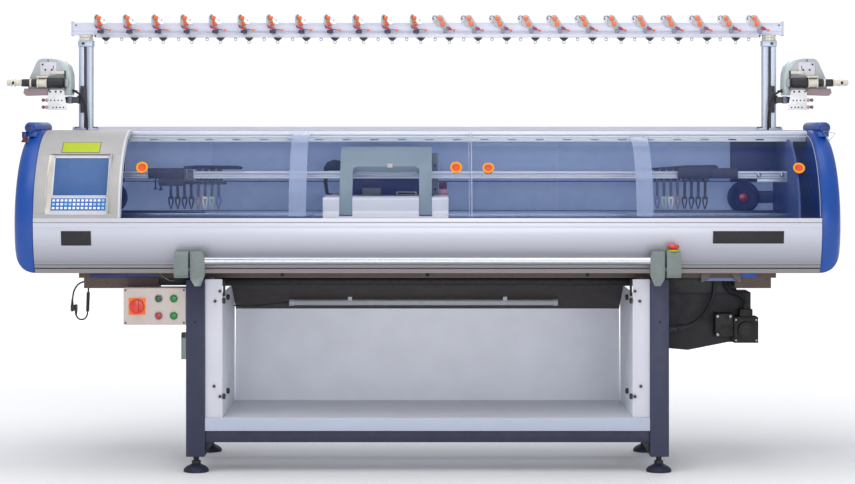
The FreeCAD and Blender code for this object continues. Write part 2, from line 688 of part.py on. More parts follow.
def bezel_space(grow, deep):
    """Rounded block through the barrel skin where the console bezel sits."""
    half = (BEZEL_X[1] - BEZEL_X[0]) / 2 + grow
    flat = BARREL_R - PANE
    key_half = flat * math.tan(math.radians((KEYPAD_ANGLES[0] - KEYPAD_ANGLES[1]) / 2))
    key_turn = math.radians(middle(KEYPAD_ANGLES) - BEZEL_MID)
    tall = flat * math.sin(key_turn) + key_half * math.cos(key_turn) + BEZEL_RIM + grow
    block = box((-half, half), (-tall, tall), (BARREL_R - deep, BARREL_R + 20))
    upright = [e for e in block.Edges if e.BoundBox.ZLength > 10]
    block = block.makeChamfer(10 + grow, upright)
    return set_on_barrel(block, BEZEL_MID, middle(BEZEL_X))


def console_housing():
    """Moulded console cover over the left end, with a return wall beside the door."""
    top = angle_at_height(BARREL_R, BARREL_Z + 24) - FIT
    skin = barrel_band(BARREL_R, 4, 91, top, (-BODY_HALF + FIT, CONSOLE_EDGE))
    wall = barrel_band(BARREL_R, 30, 95, top, (CONSOLE_EDGE - 4, CONSOLE_EDGE))
    shell = fuse([skin, wall])
    return shell.cut(bezel_space(0.0, 60))


def screen_bezel():
    """Raised frame that follows the barrel outside and holds screen and keypad inside."""
    blank = bezel_space(-FIT, BARREL_R - SIDE_R - 1)
    skin = barrel_drum(BARREL_R + BEZEL_PROUD, BEZEL_X)
    frame = blank.common(skin)
    return frame.cut([screen_space(FIT), keypad_space(FIT)])


def panel_space(angles, x, depth, grow):
    """Flat-backed pocket in the bezel between two angles round the barrel."""
    half = (BARREL_R - depth) * math.tan(math.radians((angles[0] - angles[1]) / 2)) + grow
    wide = (x[1] - x[0]) / 2 + grow
    block = box((-wide, wide), (-half, half), (BARREL_R - depth, BARREL_R + 20))
    return set_on_barrel(block, middle(angles), middle(x))


def screen_space(grow):
    return panel_space(SCREEN_ANGLES, SCREEN_X, SCREEN_DEEP + PANE, grow)


def keypad_space(grow):
    return panel_space(KEYPAD_ANGLES, KEYPAD_X, PANE, grow)


def screen():
    """Flat display pane at the bottom of its pocket."""
    floor = barrel_plane(SCREEN_ANGLES, SCREEN_DEEP + PANE, PANE)
    return screen_space(0).common(floor)


def barrel_plane(angles, depth, thick):
    """Thick flat layer, square to the barrel radius at the middle of two angles."""
    half = BARREL_R
    layer = box((-half, half), (-half, half), (BARREL_R - depth, BARREL_R - depth + thick))
    return set_on_barrel(layer, middle(angles), middle(BEZEL_X))


def keypad():
    """Keypad plate with rows of square keys."""
    plate = keypad_space(0).common(barrel_plane(KEYPAD_ANGLES, PANE, PANE - 2))
    keys = []
    for row in range(KEYS[1]):
        for column in range(KEYS[0]):
            x = (column - (KEYS[0] - 1) / 2) * KEY_STEP[0]
            y = (row - (KEYS[1] - 1) / 2) * KEY_STEP[1]
            key = box((x - 5, x + 5), (y - 4.5, y + 4.5), (BARREL_R - 2.5, BARREL_R - 0.5))
            keys.append(set_on_barrel(key, middle(KEYPAD_ANGLES), middle(KEYPAD_X)))
    return fuse([plate] + keys)


# ---------------------------------------------------------------- doors
def door(x, radius, grips):
    """Bent acrylic sheet with its finger-grip holes."""
    sheet = barrel_band(radius, DOOR_THICK, DOOR_HIGH, DOOR_LOW, x)
    hole = turned([(GRIP_R - 2, radius - 20), (GRIP_R - 2, radius + 20)], 12)
    holes = [set_on_barrel(hole, GRIP_ANGLE, gx) for gx in grips]
    return sheet.cut(holes)


def door_fittings(x, radius, grips):
    """Cup grips clipped through the sheet and the stiffening band behind it."""
    pieces = []
    band = (middle(x) - BAND_WIDE / 2, middle(x) + BAND_WIDE / 2)
    for gx in grips:
        rim = radius + 0.8
        flange = turned([(GRIP_R, rim), (GRIP_R - 2, rim + GRIP_FLANGE)], 12)
        cup = turned([(GRIP_R - 3, radius - GRIP_DEEP), (GRIP_R - 3, rim)], 12)
        dish = turned([(GRIP_R - 13, radius - GRIP_DEEP + 2), (GRIP_R - 5, rim + GRIP_FLANGE + 1)], 12)
        pieces.append(set_on_barrel(fuse([flange, cup]).cut(dish), GRIP_ANGLE, gx))
    pieces.append(barrel_band(radius - DOOR_THICK, 1.5, DOOR_HIGH + 4, DOOR_LOW - 0.5, band))
    return group(pieces)


def slotted_strip():
    """Top extrusion: two door tracks in front, slotted yarn guide strip behind."""
    length = (-BODY_HALF + FIT, BODY_HALF - FIT)
    top = BARREL_Z + BARREL_R - SHEET - 0.5
    blank = box(length, TRACK_Y, (BARREL_Z + RIGHT_DOOR_R - DOOR_THICK - 5, top))
    slots = []
    for radius in (DOOR_R, RIGHT_DOOR_R):
        slots.append(box(length, (TRACK_Y[0] - 1, BARREL_Y + 4),
                         (BARREL_Z + radius - DOOR_THICK - RUN, BARREL_Z + radius + RUN)))
    web = box(length, (TRACK_Y[1], TRACK_Y[1] + WEB), (WEB_LOW, top))
    yarn_slots = []
    for i in range(UNITS):
        x = (i - (UNITS - 1) / 2) * STRIP_PITCH + STRIP_SHIFT
        yarn_slots.append(box((x - 16, x + 16), (TRACK_Y[1] - 1, TRACK_Y[1] + WEB + 1),
                              (WEB_LOW + 5, WEB_LOW + 10)))
    return fuse([blank.cut(slots), web.cut(yarn_slots)])


# ---------------------------------------------------------------- table, posts, top beam
def cone_table():
    """Folded table behind the doors for the yarn cones, with gusset brackets."""
    half = BODY_HALF - FIT
    top = box((-half, half), (TABLE_FRONT, TABLE_REAR), (TABLE_TOP - SHEET, TABLE_TOP))
    low = TABLE_TOP - TABLE_LIP
    lips = [box((-half, half), (TABLE_REAR - SHEET, TABLE_REAR), (low, TABLE_TOP + 14))]
    for x in (-half, half - SHEET):
        lips.append(box((x, x + SHEET), (CAP_REAR + 1, TABLE_REAR), (low, TABLE_TOP)))
    rear = CAP_REAR + FIT
    gusset = [(rear, TABLE_TOP - SHEET), (TABLE_REAR - 20, TABLE_TOP - SHEET), (TABLE_REAR - 20, low + 2),
              (rear, TABLE_TOP - GUSSET_TALL)]
    for x in (GUSSET_INSET - BODY_HALF, 0.0, BODY_HALF - GUSSET_INSET):
        lips.append(prism_x(gusset, (x - 2, x + 2)))
    return fuse([top] + lips)


def rear_cover():
    """Flat rear sheet with folded top and bottom edges and ventilation slots."""
    x = (-BODY_HALF + FIT, BODY_HALF - FIT)
    sheet = box(x, (CAP_REAR - SHEET, CAP_REAR), (PANEL_LOW, TABLE_TOP - SHEET))
    slots = []
    for group_x in (-BODY_HALF / 2, BODY_HALF / 2):
        for row in range(5):
            z = PANEL_LOW + 80 + row * 22
            slots.append(box((group_x - 90, group_x + 90), (CAP_REAR - 4, CAP_REAR + 1), (z, z + 7)))
    return sheet.cut(slots)


def posts():
    """Slotted aluminium posts on foot plates, with a collar under the top beam."""
    half = POST / 2
    x = (POST_X - half, POST_X + half)
    y = (POST_Y - half, POST_Y + half)
    column = box(x, y, (TABLE_TOP + 8, BEAM_Z - 24))
    z = (TABLE_TOP + 7, BEAM_Z - 23)
    slots = []
    for side in (-1, 1):
        across = sorted((POST_Y + side * half, POST_Y + side * (half - 12)))
        slots.append(box((POST_X - 5, POST_X + 5), across, z))
        along = sorted((POST_X + side * half, POST_X + side * (half - 12)))
        slots.append(box(along, (POST_Y - 5, POST_Y + 5), z))
    foot = box((POST_X - 45, POST_X + 45), (POST_Y - 45, POST_Y + 45), (TABLE_TOP, TABLE_TOP + 8))
    collar = box((x[0] - 3, x[1] + 3), (y[0] - 3, y[1] + 3), (BEAM_Z - 46, BEAM_Z - 22))
    knob = turned([(26, BEAM_Z - 22), (26, BEAM_Z)], 12, (POST_X, POST_Y, 0))
    post = fuse([column.cut(slots), foot, collar, knob])
    return group(both_sides(post))


def top_beam():
    """Channel that carries the yarn tension units, with an eyelet rail under its front edge."""
    y = (POST_Y - TOP_BEAM_DEEP / 2, POST_Y + TOP_BEAM_DEEP / 2)
    x = (-TOP_BEAM_HALF, TOP_BEAM_HALF)
    channel = box(x, y, (BEAM_Z, BEAM_Z + TOP_BEAM_TALL))
    hollow = box((x[0] + 3, x[1] - 3), (y[0] + 3, y[1] + 1), (BEAM_Z + 3, BEAM_Z + TOP_BEAM_TALL - 3))
    groove = box((x[0] - 1, x[1] + 1), (y[0] - 1, y[0] + 1.5), (BEAM_Z + 6, BEAM_Z + 12))
    rail = box((x[0] + EYELET_INSET, x[1] - EYELET_INSET), (y[0] - 26, y[0] - 22), (BEAM_Z - 12, BEAM_Z + 4))
    last = x[1] - HANGER_INSET
    hangers = [box((hx - 6, hx + 6), (y[0] - 22, y[0]), (BEAM_Z, BEAM_Z + 4))
               for hx in (-last, -last / 2, 0, last / 2, last)]
    ends = [box((ex - 3, ex + 3), (y[0] - 4, y[1]), (BEAM_Z - 4, BEAM_Z + TOP_BEAM_TALL + 6))
            for ex in (x[0] - 3, x[1] + 3)]
    return fuse([channel.cut([hollow, groove]), rail] + hangers + ends)


def unit_places():
    """X and turn of each tension unit: the left half is turned to face inwards."""
    for i in range(UNITS):
        x = (i - (UNITS - 1) / 2) * UNIT_PITCH
        yield x, (UNIT_TURN if i < UNITS / 2 else 0)


def unit_y(turn):
    """Depth of a unit whose plate, or its far corner where it is turned, sits on the beam's face."""
    face = POST_Y - TOP_BEAM_DEEP / 2 - FIT
    spin = math.radians(turn)
    return face - UNIT_REACH * math.sin(spin) - UNIT_PLATE / 2 * math.cos(spin)


def place_unit(shape, x, turn):
    placed = shape.copy()
    placed.rotate(Vector(0, 0, 0), Vector(0, 0, 1), turn)
    placed.translate(Vector(x, unit_y(turn), BEAM_Z + TOP_BEAM_TALL))
    return placed


def tension_units():
    """Slanted yarn tension plates screwed to the face of the top beam."""
    outline = [(-24, -10), (-24, 24), (-10, 32), (4, 28), (UNIT_REACH, -26), (UNIT_REACH - 10, -34)]
    unit = prism_y(outline, (-UNIT_PLATE / 2, UNIT_PLATE / 2))
    return group([place_unit(unit, x, turn) for x, turn in unit_places()])


def tension_knobs():
    """Two tension knobs on every unit."""
    knobs = []
    for x, turn in unit_places():
        for kx, kz in ((-6, 16), (4, -6)):
            knob = turned([(9.5, 0), (8, 13)], 6, (kx, -UNIT_PLATE / 2, kz), (0, -1, 0))
            knobs.append(place_unit(knob, x, turn))
    return group(knobs)


def yarn_eyelets():
    """Two rows of ceramic eyelets in black cups below the top beam."""
    cups = []
    y_front = POST_Y - TOP_BEAM_DEEP / 2 - 24
    for i in range(UNITS):
        x = (i - (UNITS - 1) / 2) * UNIT_PITCH
        for dx, y, z in ((30, y_front, BEAM_Z - 12), (-26, POST_Y - 6, BEAM_Z)):
            if abs(x + dx) < POST_X - POST:
                cups.append(turned([(7, -12), (17, 0)], 6, (x + dx, y, z)))
    return group(cups)


# ---------------------------------------------------------------- side feeders
def feeder_housing():
    """Right-hand feeder: rounded motor housing with face plate, lower block and bearing arm."""
    high = FEED_LOW + FEED_TALL
    outline = [(FEED_IN, FEED_LOW), (FEED_IN, high - 62), (FEED_IN + 22, high - 22), (FEED_IN + 60, high),
               (FEED_IN + 104, high), (FEED_OUT - 18, high - 56), (FEED_OUT, FEED_LOW + 16),
               (FEED_OUT, FEED_LOW)]
    body = prism_y(outline, (FEED_FRONT, FEED_BACK))
    plate_outline = [(x + (6 if x < FEED_IN + 80 else -4), z + 4) for x, z in outline]
    bounds = box((FEED_IN, FEED_OUT), (FEED_FRONT - 4, FEED_FRONT), (FEED_LOW, high))
    plate = prism_y(plate_outline, (FEED_FRONT - 4, FEED_FRONT)).common(bounds)
    square = box((FEED_IN + 66, FEED_IN + 122), (FEED_FRONT - 8, FEED_FRONT - 4), (high - 80, high - 26))
    lever = box((FEED_IN + 28, FEED_IN + 76), (FEED_FRONT - 22, FEED_FRONT - 4), (high - 75, high - 60))
    low_block = box((FEED_IN + 78, FEED_OUT + 8), (FEED_FRONT - 30, FEED_FRONT + 40),
                    (FEED_LOW - 1, FEED_LOW + 29))
    bearing = box((FEED_IN, FEED_IN + 12), (ROLLER_Y - 12, FEED_FRONT), (ROLLER_Z - 14, ROLLER_Z + 14))
    bearing = bearing.cut(turned([(5.3, -1), (5.3, 13)], 10, (FEED_IN, ROLLER_Y, ROLLER_Z), (1, 0, 0)))
    return fuse([body, plate, square, lever, low_block, bearing])


def feeder_roller():
    """Right-hand feed roller: black rubber roller, two cream spools and the pointed shaft end."""
    start = FEED_IN + 13
    pieces = [[(ROLLER_R, 0), (ROLLER_R, 67)], [(ROLLER_R + 1, 67), (ROLLER_R + 1, 106)],
              [(8, 106), (8, 164)], [(15, 164), (15, 194)], [(9, 194), (4, FEED_TIP - start)]]
    parts = [turned(piece, 10, (start, ROLLER_Y, ROLLER_Z), (1, 0, 0)) for piece in pieces]
    return fuse(parts + [rod_x((FEED_IN + 1, start), ROLLER_Y, ROLLER_Z, 5)])


def feeder_bracket():
    """Right-hand bracket: clamp plate on the post, arm under the housing, drilled guide plate."""
    half = POST / 2
    face = POST_Y - half
    guide = (ROLLER_Y - 11, ROLLER_Y - 8)
    clamp = box((POST_X - 4, POST_X + 20), (face - 12, face), (FEED_LOW - 69, FEED_LOW + 37))
    arm = box((POST_X + 20, FEED_OUT - 20), (face - 40, face), (FEED_LOW - 28, FEED_LOW - 1.3))
    holder = box((FEED_IN + 20, FEED_IN + 66), (guide[1], face - 40), (FEED_LOW - 26, FEED_LOW - 6))
    plate = box((FEED_IN + 8, FEED_IN + 76), guide, (FEED_LOW - 54, FEED_LOW + 22))
    drill = [(3, 0), (3, 5)]
    holes = [turned(drill, 6, (FEED_IN + 18 + 16 * i, guide[0] - 1, FEED_LOW - 42), (0, 1, 0))
             for i in range(4)]
    eyes = [turned([(5, 0), (5, 16)], 6, (FEED_IN + 76, middle(guide), z), (1, 0, 0))
            for z in (FEED_LOW - 38, FEED_LOW - 10)]
    return fuse([clamp, arm, holder, plate.cut(holes)] + eyes)


# ---------------------------------------------------------------- yarn carriers
def carrier(x, track):
    """Yarn carrier: slider round one rail face, bent arm and V-shaped feeder tip."""
    outer = YRAIL_OFF + YRAIL_THICK / 2
    low = YRAIL_LOW - FIT
    top = YRAIL_LOW + YRAIL_TALL + FIT
    profile = [(outer + FIT, top + 6), (outer + 9, top + 6), (outer + 9, low - 8), (12, low - 8),
               (2.5, TIP_LOW), (-2.5, TIP_LOW), (5, low), (outer + FIT, low)]
    side = 1 if track < CARRIERS_EACH_SIDE / 2 else -1
    wide = (x - CARRIER_WIDE / 2, x + CARRIER_WIDE / 2)
    body = prism_x([(GAP_Y - side * off, z) for off, z in profile], wide)
    cheek = box((x + CARRIER_SLIM / 2, x + CARRIER_WIDE), (GAP_Y - 60, GAP_Y + 60), (TIP_LOW + 30, low - 20))
    cheeks = [cheek, cheek.mirror(Vector(x, 0, 0), Vector(1, 0, 0))]
    tip = prism_y([(x - 20, TIP_LOW + 31), (x - 20, TIP_LOW - 1), (x - 2, TIP_LOW - 1),
                   (x - 9, TIP_LOW + 31)], (GAP_Y - 30, GAP_Y + 30))
    other = tip.mirror(Vector(x, 0, 0), Vector(1, 0, 0))
    return body.cut(cheeks + [tip, other])


def yarn_carriers():
    """Parked carriers of both groups, without the two that lead each group."""
    left = [carrier(CARRIER_LEFT + i * CARRIER_PITCH, i) for i in range(CARRIERS_EACH_SIDE - 1)]
    right = [carrier(CARRIER_RIGHT - i * CARRIER_PITCH, i) for i in range(CARRIERS_EACH_SIDE - 1)]
    return group(left + right)


# ---------------------------------------------------------------- carriage
def cam_boxes():
    """Front and rear cam boxes that straddle the rails over the sloping beds."""
    slope_top = BED_PEAK + BED_GAP / 2 + 5.7
    way_in = WAY_OFF - WAY_WIDE / 2 - RUN
    way_out = WAY_OFF + WAY_WIDE / 2 + RUN
    way_top = BEAM_TOP + WAY_WIDE + RUN
    tail = BEAM_OUT + 6
    inside = WAY_OFF - WAY_WIDE / 2 - 10
    corners = [(CHANNEL + 1, slope_top - CHANNEL - 1), (BED_RUN - 5, slope_top - BED_RUN + 5),
               (inside, slope_top - BED_RUN + 30), (inside, BEAM_TOP + 3), (way_in, BEAM_TOP + 3),
               (way_in, way_top), (way_out, way_top), (way_out, BEAM_TOP + 3), (tail, BEAM_TOP + 3),
               (tail, COVER_TOP - 3), (CHANNEL + 1, COVER_TOP - 3)]
    x = (CARRIAGE_X - CARRIAGE_HALF + 4, CARRIAGE_X + CARRIAGE_HALF - 4)
    return group(both_beds(prism_x([(front(off), z) for off, z in corners], x)))


def arch_leg_spaces(grow):
    """Room in the covers for the two legs of the arch."""
    inside = math.sqrt((ARCH_R - ARCH_THICK) ** 2 - (COVER_TOP - BARREL_Z) ** 2) - LEG_ROOM
    spaces = []
    for side in (-1, 1):
        centre = CARRIAGE_X + side * (ARCH_HALF - ARCH_LEG / 2)
        half = ARCH_LEG / 2 + grow
        spaces.append(box((centre - half, centre + half), (front(COVER_OUT + 9), front(inside)),
                          (COVER_LOW - 36, COVER_TOP + 81)))
    return spaces


def carriage_covers():
    """White carriage covers, front and rear, notched for the arch; the rear one clamps the belt."""
    x = (CARRIAGE_X - CARRIAGE_HALF, CARRIAGE_X + CARRIAGE_HALF)
    corners = [(CHANNEL + 1, COVER_TOP), (CHANNEL + 1, COVER_TOP - 3), (BEAM_OUT + 6, COVER_TOP - 3),
               (BEAM_OUT + 6, COVER_LOW), (COVER_OUT, COVER_LOW), (COVER_OUT, COVER_TOP - 8),
               (COVER_OUT - 8, COVER_TOP)]
    cover = prism_x([(front(off), z) for off, z in corners], x)
    front_cover, rear_cover_piece = both_beds(cover.cut(arch_leg_spaces(FIT)))
    belt_low = PULLEY_Z - PULLEY_R - FIT - BELT_THICK
    belt_top = PULLEY_Z - PULLEY_R - FIT
    jaw_x = (CARRIAGE_X - 40, CARRIAGE_X + 40)
    back = GAP_Y + COVER_OUT
    jaws = [box(jaw_x, (back, PULLEY_REAR - 2), (belt_low - 14, belt_low - RUN)),
            box(jaw_x, (back, PULLEY_REAR - 2), (belt_top + RUN, belt_top + 14)),
            box(jaw_x, (back, PULLEY_FRONT + 1), (belt_low - 14, belt_top + 14))]
    return group([front_cover, fuse([rear_cover_piece] + jaws)])


def carriage_arch():
    """Cast arch that ties the front and rear of the carriage over the yarn rails."""
    x = (CARRIAGE_X - ARCH_HALF, CARRIAGE_X + ARCH_HALF)
    low = angle_at_height(ARCH_R, COVER_LOW + 8)
    arch = barrel_band(ARCH_R, ARCH_THICK, 180 - low, low, x)
    inner_half = ARCH_HALF - ARCH_LEG
    gap = (CARRIAGE_X - inner_half, CARRIAGE_X + inner_half)
    high = on_barrel(ARCH_R - ARCH_THICK, ARCH_WINDOW).z
    openings = []
    for start, end in ((low + 1, ARCH_WINDOW), (180 - ARCH_WINDOW, 179 - low)):
        window = barrel_band(ARCH_R + 5, ARCH_THICK + 10, end, start, gap)
        upper = [e for e in window.Edges if e.BoundBox.XLength < 0.01 and e.CenterOfMass.z > high - 2
                 and e.Length < ARCH_THICK + 12]
        openings.append(window.makeChamfer(ARCH_CORNER, upper))
    return arch.cut(openings)


def pulley(x):
    """Flanged belt pulley with a bore for its axle."""
    wide = PULLEY_REAR - PULLEY_FRONT
    place = (x, PULLEY_FRONT, PULLEY_Z)
    steps = [(PULLEY_R + 4, -2), (PULLEY_R + 4, 0), (PULLEY_R - 0.1, 0), (PULLEY_R - 0.1, wide)]
    rim = turned(steps, 20, place, (0, 1, 0))
    recess = turned([(PULLEY_R - 14, -3), (PULLEY_R - 14, 6)], 12, place, (0, 1, 0))
    hub = turned([(20, 0), (20, 6)], 12, place, (0, 1, 0))
    bore = rod_y(x, (PULLEY_FRONT - 5, PULLEY_REAR + 1), PULLEY_Z, AXLE_R + 0.1)
    return fuse([rim.cut(recess), hub]).cut(bore)


def drive_belt():
    """Toothed belt round both pulleys, clamped by the carriage."""
    y = (PULLEY_FRONT + 2, PULLEY_REAR - 2)
    inner = PULLEY_R + FIT
    loops = []
    for radius in (inner + BELT_THICK, inner):
        ends = [rod_y(x, y, PULLEY_Z, radius) for x in (-PULLEY_X, PULLEY_X)]
        straight = box((-PULLEY_X, PULLEY_X), y, (PULLEY_Z - radius, PULLEY_Z + radius))
        loops.append(fuse([straight] + ends))
    return loops[0].cut(loops[1])


def takedown_roller():
    """Roller that draws the fabric down between the beds, with its journals."""
    far = 2 * TAKE_HALF + TAKE_NECK
    steps = [(AXLE_R, 0), (AXLE_R, TAKE_NECK), (TAKE_R, TAKE_NECK), (TAKE_R, far), (AXLE_R, far),
             (AXLE_R, far + TAKE_NECK)]
    return turned(steps, 16, (-TAKE_HALF - TAKE_NECK, GAP_Y, TAKE_Z), (1, 0, 0))


# ---------------------------------------------------------------- start bar and controls
def bar_box(side):
    """Cast bracket box seated on the curve of the front panel."""
    x = BAR_BOX
    nose = BAR_Y - 22
    bevel = 12
    block = prism_x([(nose, BAR_BOX_LOW + bevel), (nose, BAR_BOX_TOP - bevel), (nose + bevel, BAR_BOX_TOP),
                     (BAR_Y + 90, BAR_BOX_TOP), (BAR_Y + 90, BAR_BOX_LOW), (nose + bevel, BAR_BOX_LOW)], x)
    block = block.cut(barrel_drum(BARREL_R + FIT, (x[0] - 1, x[1] + 1)))
    block = block.cut(box((x[0] - 1, x[1] + 1), (BAR_Y + 72, BAR_Y + 91), (BAR_BOX_LOW - 1, BAR_BOX_TOP + 1)))
    start = BAR_LEAF[0] + 14
    pin = turned([(PIN_R, 0), (PIN_R, x[0] - start)], 12, (start, BAR_Y, BAR_PIVOT_Z), (1, 0, 0))
    piece = fuse([block, pin])
    return piece if side > 0 else piece.mirror(Vector(0, 0, 0), Vector(1, 0, 0))


def bar_brackets():
    """Both start-bar brackets; the right one carries the yellow collar of the stop button."""
    right = bar_box(1)
    stem_hole = turned([(9, BAR_BOX_TOP - 14), (9, BAR_BOX_TOP + 10)], 12, (STOP_X, STOP_Y, 0))
    collar = turned([(19, 0), (19, 5)], 12, (STOP_X, STOP_Y, BAR_BOX_TOP))
    right = fuse([right, collar]).cut(stem_hole)
    return group([bar_box(-1), right])


def stop_button():
    """Red mushroom head on its stem."""
    base = BAR_BOX_TOP + 5 + STOP_TRAVEL + FIT
    head = turned([(18, 0), (22, 3), (22, 8), (15, 14)], 16, (STOP_X, STOP_Y, base))
    stem = turned([(8, BAR_BOX_TOP - 7 - base), (8, 0)], 12, (STOP_X, STOP_Y, base))
    return fuse([head, stem])


def start_bar():
    """Start bar held in two leaf arms that swing on the bracket pins."""
    reach = BAR_LEAF[0] + 10
    tube = turned([(BAR_R, 0), (BAR_R, 2 * reach)], 12, (-reach, BAR_Y, BAR_Z), (1, 0, 0))
    groove = box((-BAR_LEAF[0], BAR_LEAF[0]), (BAR_Y - BAR_R - 1, BAR_Y - BAR_R + 2), (BAR_Z - 3, BAR_Z + 1))
    low = BAR_PIVOT_Z - 60
    high = BAR_Z + 34
    outline = [(BAR_LEAF[1], high), (BAR_LEAF[0] + 8, high), (BAR_LEAF[0], high - 20),
               (BAR_LEAF[0], BAR_PIVOT_Z - 20), (BAR_LEAF[0] + 16, low), (BAR_LEAF[0] + 36, low),
               (BAR_LEAF[1], BAR_PIVOT_Z - 34)]
    leaf = prism_y(outline, (BAR_Y - 15, BAR_Y + 13))
    leaf = leaf.cut(rod_x((BAR_LEAF[0] + 12, BAR_LEAF[1] + 1), BAR_Y, BAR_PIVOT_Z, PIN_R + 0.1))
    return fuse([tube.cut(groove)] + both_sides(leaf))


def switch_box():
    """Electrical box on the left leg with the isolator plate and four button collars."""
    x = (SWITCH_IN - SWITCH_WIDE, SWITCH_IN)
    z = (SWITCH_LOW, SWITCH_LOW + SWITCH_TALL)
    case = box(x, (SWITCH_FRONT, SWITCH_FRONT + SWITCH_DEEP), z)
    plate = box((KNOB_X - 31, KNOB_X + 31), (SWITCH_FRONT - 3, SWITCH_FRONT), (KNOB_Z - 31, KNOB_Z + 31))
    collars = []
    bores = []
    for bx, bz in button_places():
        collars.append(turned([(15, 0), (15, 4)], 12, (bx, SWITCH_FRONT, bz), (0, -1, 0)))
        bores.append(turned([(BUTTON_R + 1, -12), (BUTTON_R + 1, 5)], 12, (bx, SWITCH_FRONT, bz), (0, -1, 0)))
    spindle_hole = turned([(6.5, -12), (6.5, 4)], 12, (KNOB_X, SWITCH_FRONT, KNOB_Z), (0, -1, 0))
    return fuse([case, plate] + collars).cut(bores + [spindle_hole])


def button_places():
    return [(bx, bz) for bz in BUTTON_Z for bx in BUTTON_X]


def push_button(place):
    steps = [(BUTTON_R, -7), (BUTTON_R, 7.5), (BUTTON_R - 1.5, 9)]
    return turned(steps, 12, (place[0], SWITCH_FRONT, place[1]), (0, -1, 0))


def main_switch_handle():
    """Rotary isolator knob with a raised grip bar on a spindle."""
    base = SWITCH_FRONT - 3 - FIT
    disc = turned([(27, 0), (27, 7), (24, 10)], 16, (KNOB_X, base, KNOB_Z), (0, -1, 0))
    grip = box((KNOB_X - 7, KNOB_X + 7), (base - 26, base - 10), (KNOB_Z - 25, KNOB_Z + 25))
    spindle = turned([(6, -11), (6, 0)], 12, (KNOB_X, base, KNOB_Z), (0, -1, 0))
    return fuse([disc, grip, spindle])


# ---------------------------------------------------------------- motor group
def motor_cover():
    """Folded sheet guard hung on the right leg behind the take-down motor."""
    high = GUARD_TOP - GUARD_STEP[2]
    low = GUARD_LOW + GUARD_SLANT[2]
    outline = [(LEG_OUT, GUARD_TOP), (LEG_OUT + GUARD_STEP[0], GUARD_TOP), (LEG_OUT + GUARD_STEP[1], high),
               (GUARD_OUT, high), (GUARD_OUT, low), (GUARD_OUT - GUARD_SLANT[1], low),
               (LEG_OUT + GUARD_SLANT[0], GUARD_LOW), (LEG_OUT, GUARD_LOW + 8)]
    block = prism_y(outline, (GUARD_FRONT, GUARD_FRONT + GUARD_DEEP))
    shifts = [(-1, -1), (-1, -1), (-1, -1), (-1, -1), (-1, 1), (0, 1), (0, 1), (-1, 1)]
    inner = [(x + GUARD_WALL * dx, z + GUARD_WALL * dz) for (x, z), (dx, dz) in zip(outline, shifts)]
    return block.cut(prism_y(inner, (GUARD_FRONT + GUARD_WALL, GUARD_FRONT + GUARD_DEEP + 1)))


def takedown_motor():
    """Black servo motor and gearbox bolted to the front of the guard."""
    flange = box((MOTOR_X - 46, MOTOR_X + 46), (GUARD_FRONT - 90, GUARD_FRONT),
                 (MOTOR_Z - 48, MOTOR_Z + 48))
    nose = turned([(30, 90), (30, 116), (24, 124)], 14, (MOTOR_X, GUARD_FRONT, MOTOR_Z), (0, -1, 0))
    gearbox = box((MOTOR_X - 112, MOTOR_X - 46), (GUARD_FRONT - 70, GUARD_FRONT),
                  (MOTOR_Z - 26, MOTOR_Z + 60))
    conduit = box((MOTOR_X - 20, MOTOR_X + 28), (GUARD_FRONT - 66, GUARD_FRONT - 10),
                  (MOTOR_Z + 48, MOTOR_Z + 76))
    return fuse([flange, nose, gearbox, conduit])


# ---------------------------------------------------------------- cables
def cable_path(route):
    """Route points rounded by tangent arcs, each arc as short chords; prints the least radius."""
    points = [Vector(*p) for p in route]
    path = [points[0]]
    radii = []
    for before, corner, after in zip(points, points[1:], points[2:]):
        into = corner - before
        out = after - corner
        turn = into.getAngle(out)
        reach = 0.45 * min(into.Length, out.Length)
        radius = reach / math.tan(turn / 2)
        radii.append(radius)
        first = corner - into.normalize() * reach
        last = corner + out.normalize() * reach
        inward = ((first + last) * 0.5 - corner).normalize()
        centre = corner + inward * (radius / math.cos(turn / 2))
        normal = (first - centre).cross(last - centre).normalize()
        steps = max(1, math.ceil(math.degrees(turn) / CABLE_STEP))
        spoke = first - centre
        for step in range(steps + 1):
            spin = FreeCAD.Rotation(normal, math.degrees(turn) * step / steps)
            path.append(centre + spin.multVec(spoke))
    path.append(points[-1])
    print("route of", len(route), "points, least radius", round(min(radii), 1))
    return path


def cable(route, radius):
    """Faceted tube whose rings are mitred at every chord of the rounded route."""
    path = cable_path(route)
    ways = [(b - a).normalize() for a, b in zip(path, path[1:])]
    turn = FreeCAD.Rotation(Vector(0, 0, 1), ways[0])
    wide = radius / math.cos(math.pi / CABLE_SIDES)
    corners = [turn.multVec(Vector(wide * math.cos(2 * math.pi * i / CABLE_SIDES),
                                   wide * math.sin(2 * math.pi * i / CABLE_SIDES), 0)) + path[0]
               for i in range(CABLE_SIDES)]
    rings = [corners]
    for i, point in enumerate(path[1:]):
        way = ways[i]
        normal = way + ways[i + 1] if i + 1 < len(ways) else way
        corners = [c + way * ((point - c).dot(normal) / way.dot(normal)) for c in corners]
        rings.append(corners)
    tube = polyhedron(rings)
    length = sum((b - a).Length for a, b in zip(path, path[1:]))
    section = CABLE_SIDES * wide ** 2 * math.sin(2 * math.pi / CABLE_SIDES) / 2
    share = tube.Volume / section / length
    print("tube", round(length), "mm, volume over section times length", round(share, 3))
    return tube


def machine_cables():
    """Leads held at both ends: feeders, lamp and take-down motor."""
    feeders = both_sides(cable(FEEDER_CABLE, 4))
    return group(feeders + [cable(LAMP_CABLE, 2.5), cable(DRIVE_HOSE, 7), cable(MOTOR_CONDUIT, 9)])


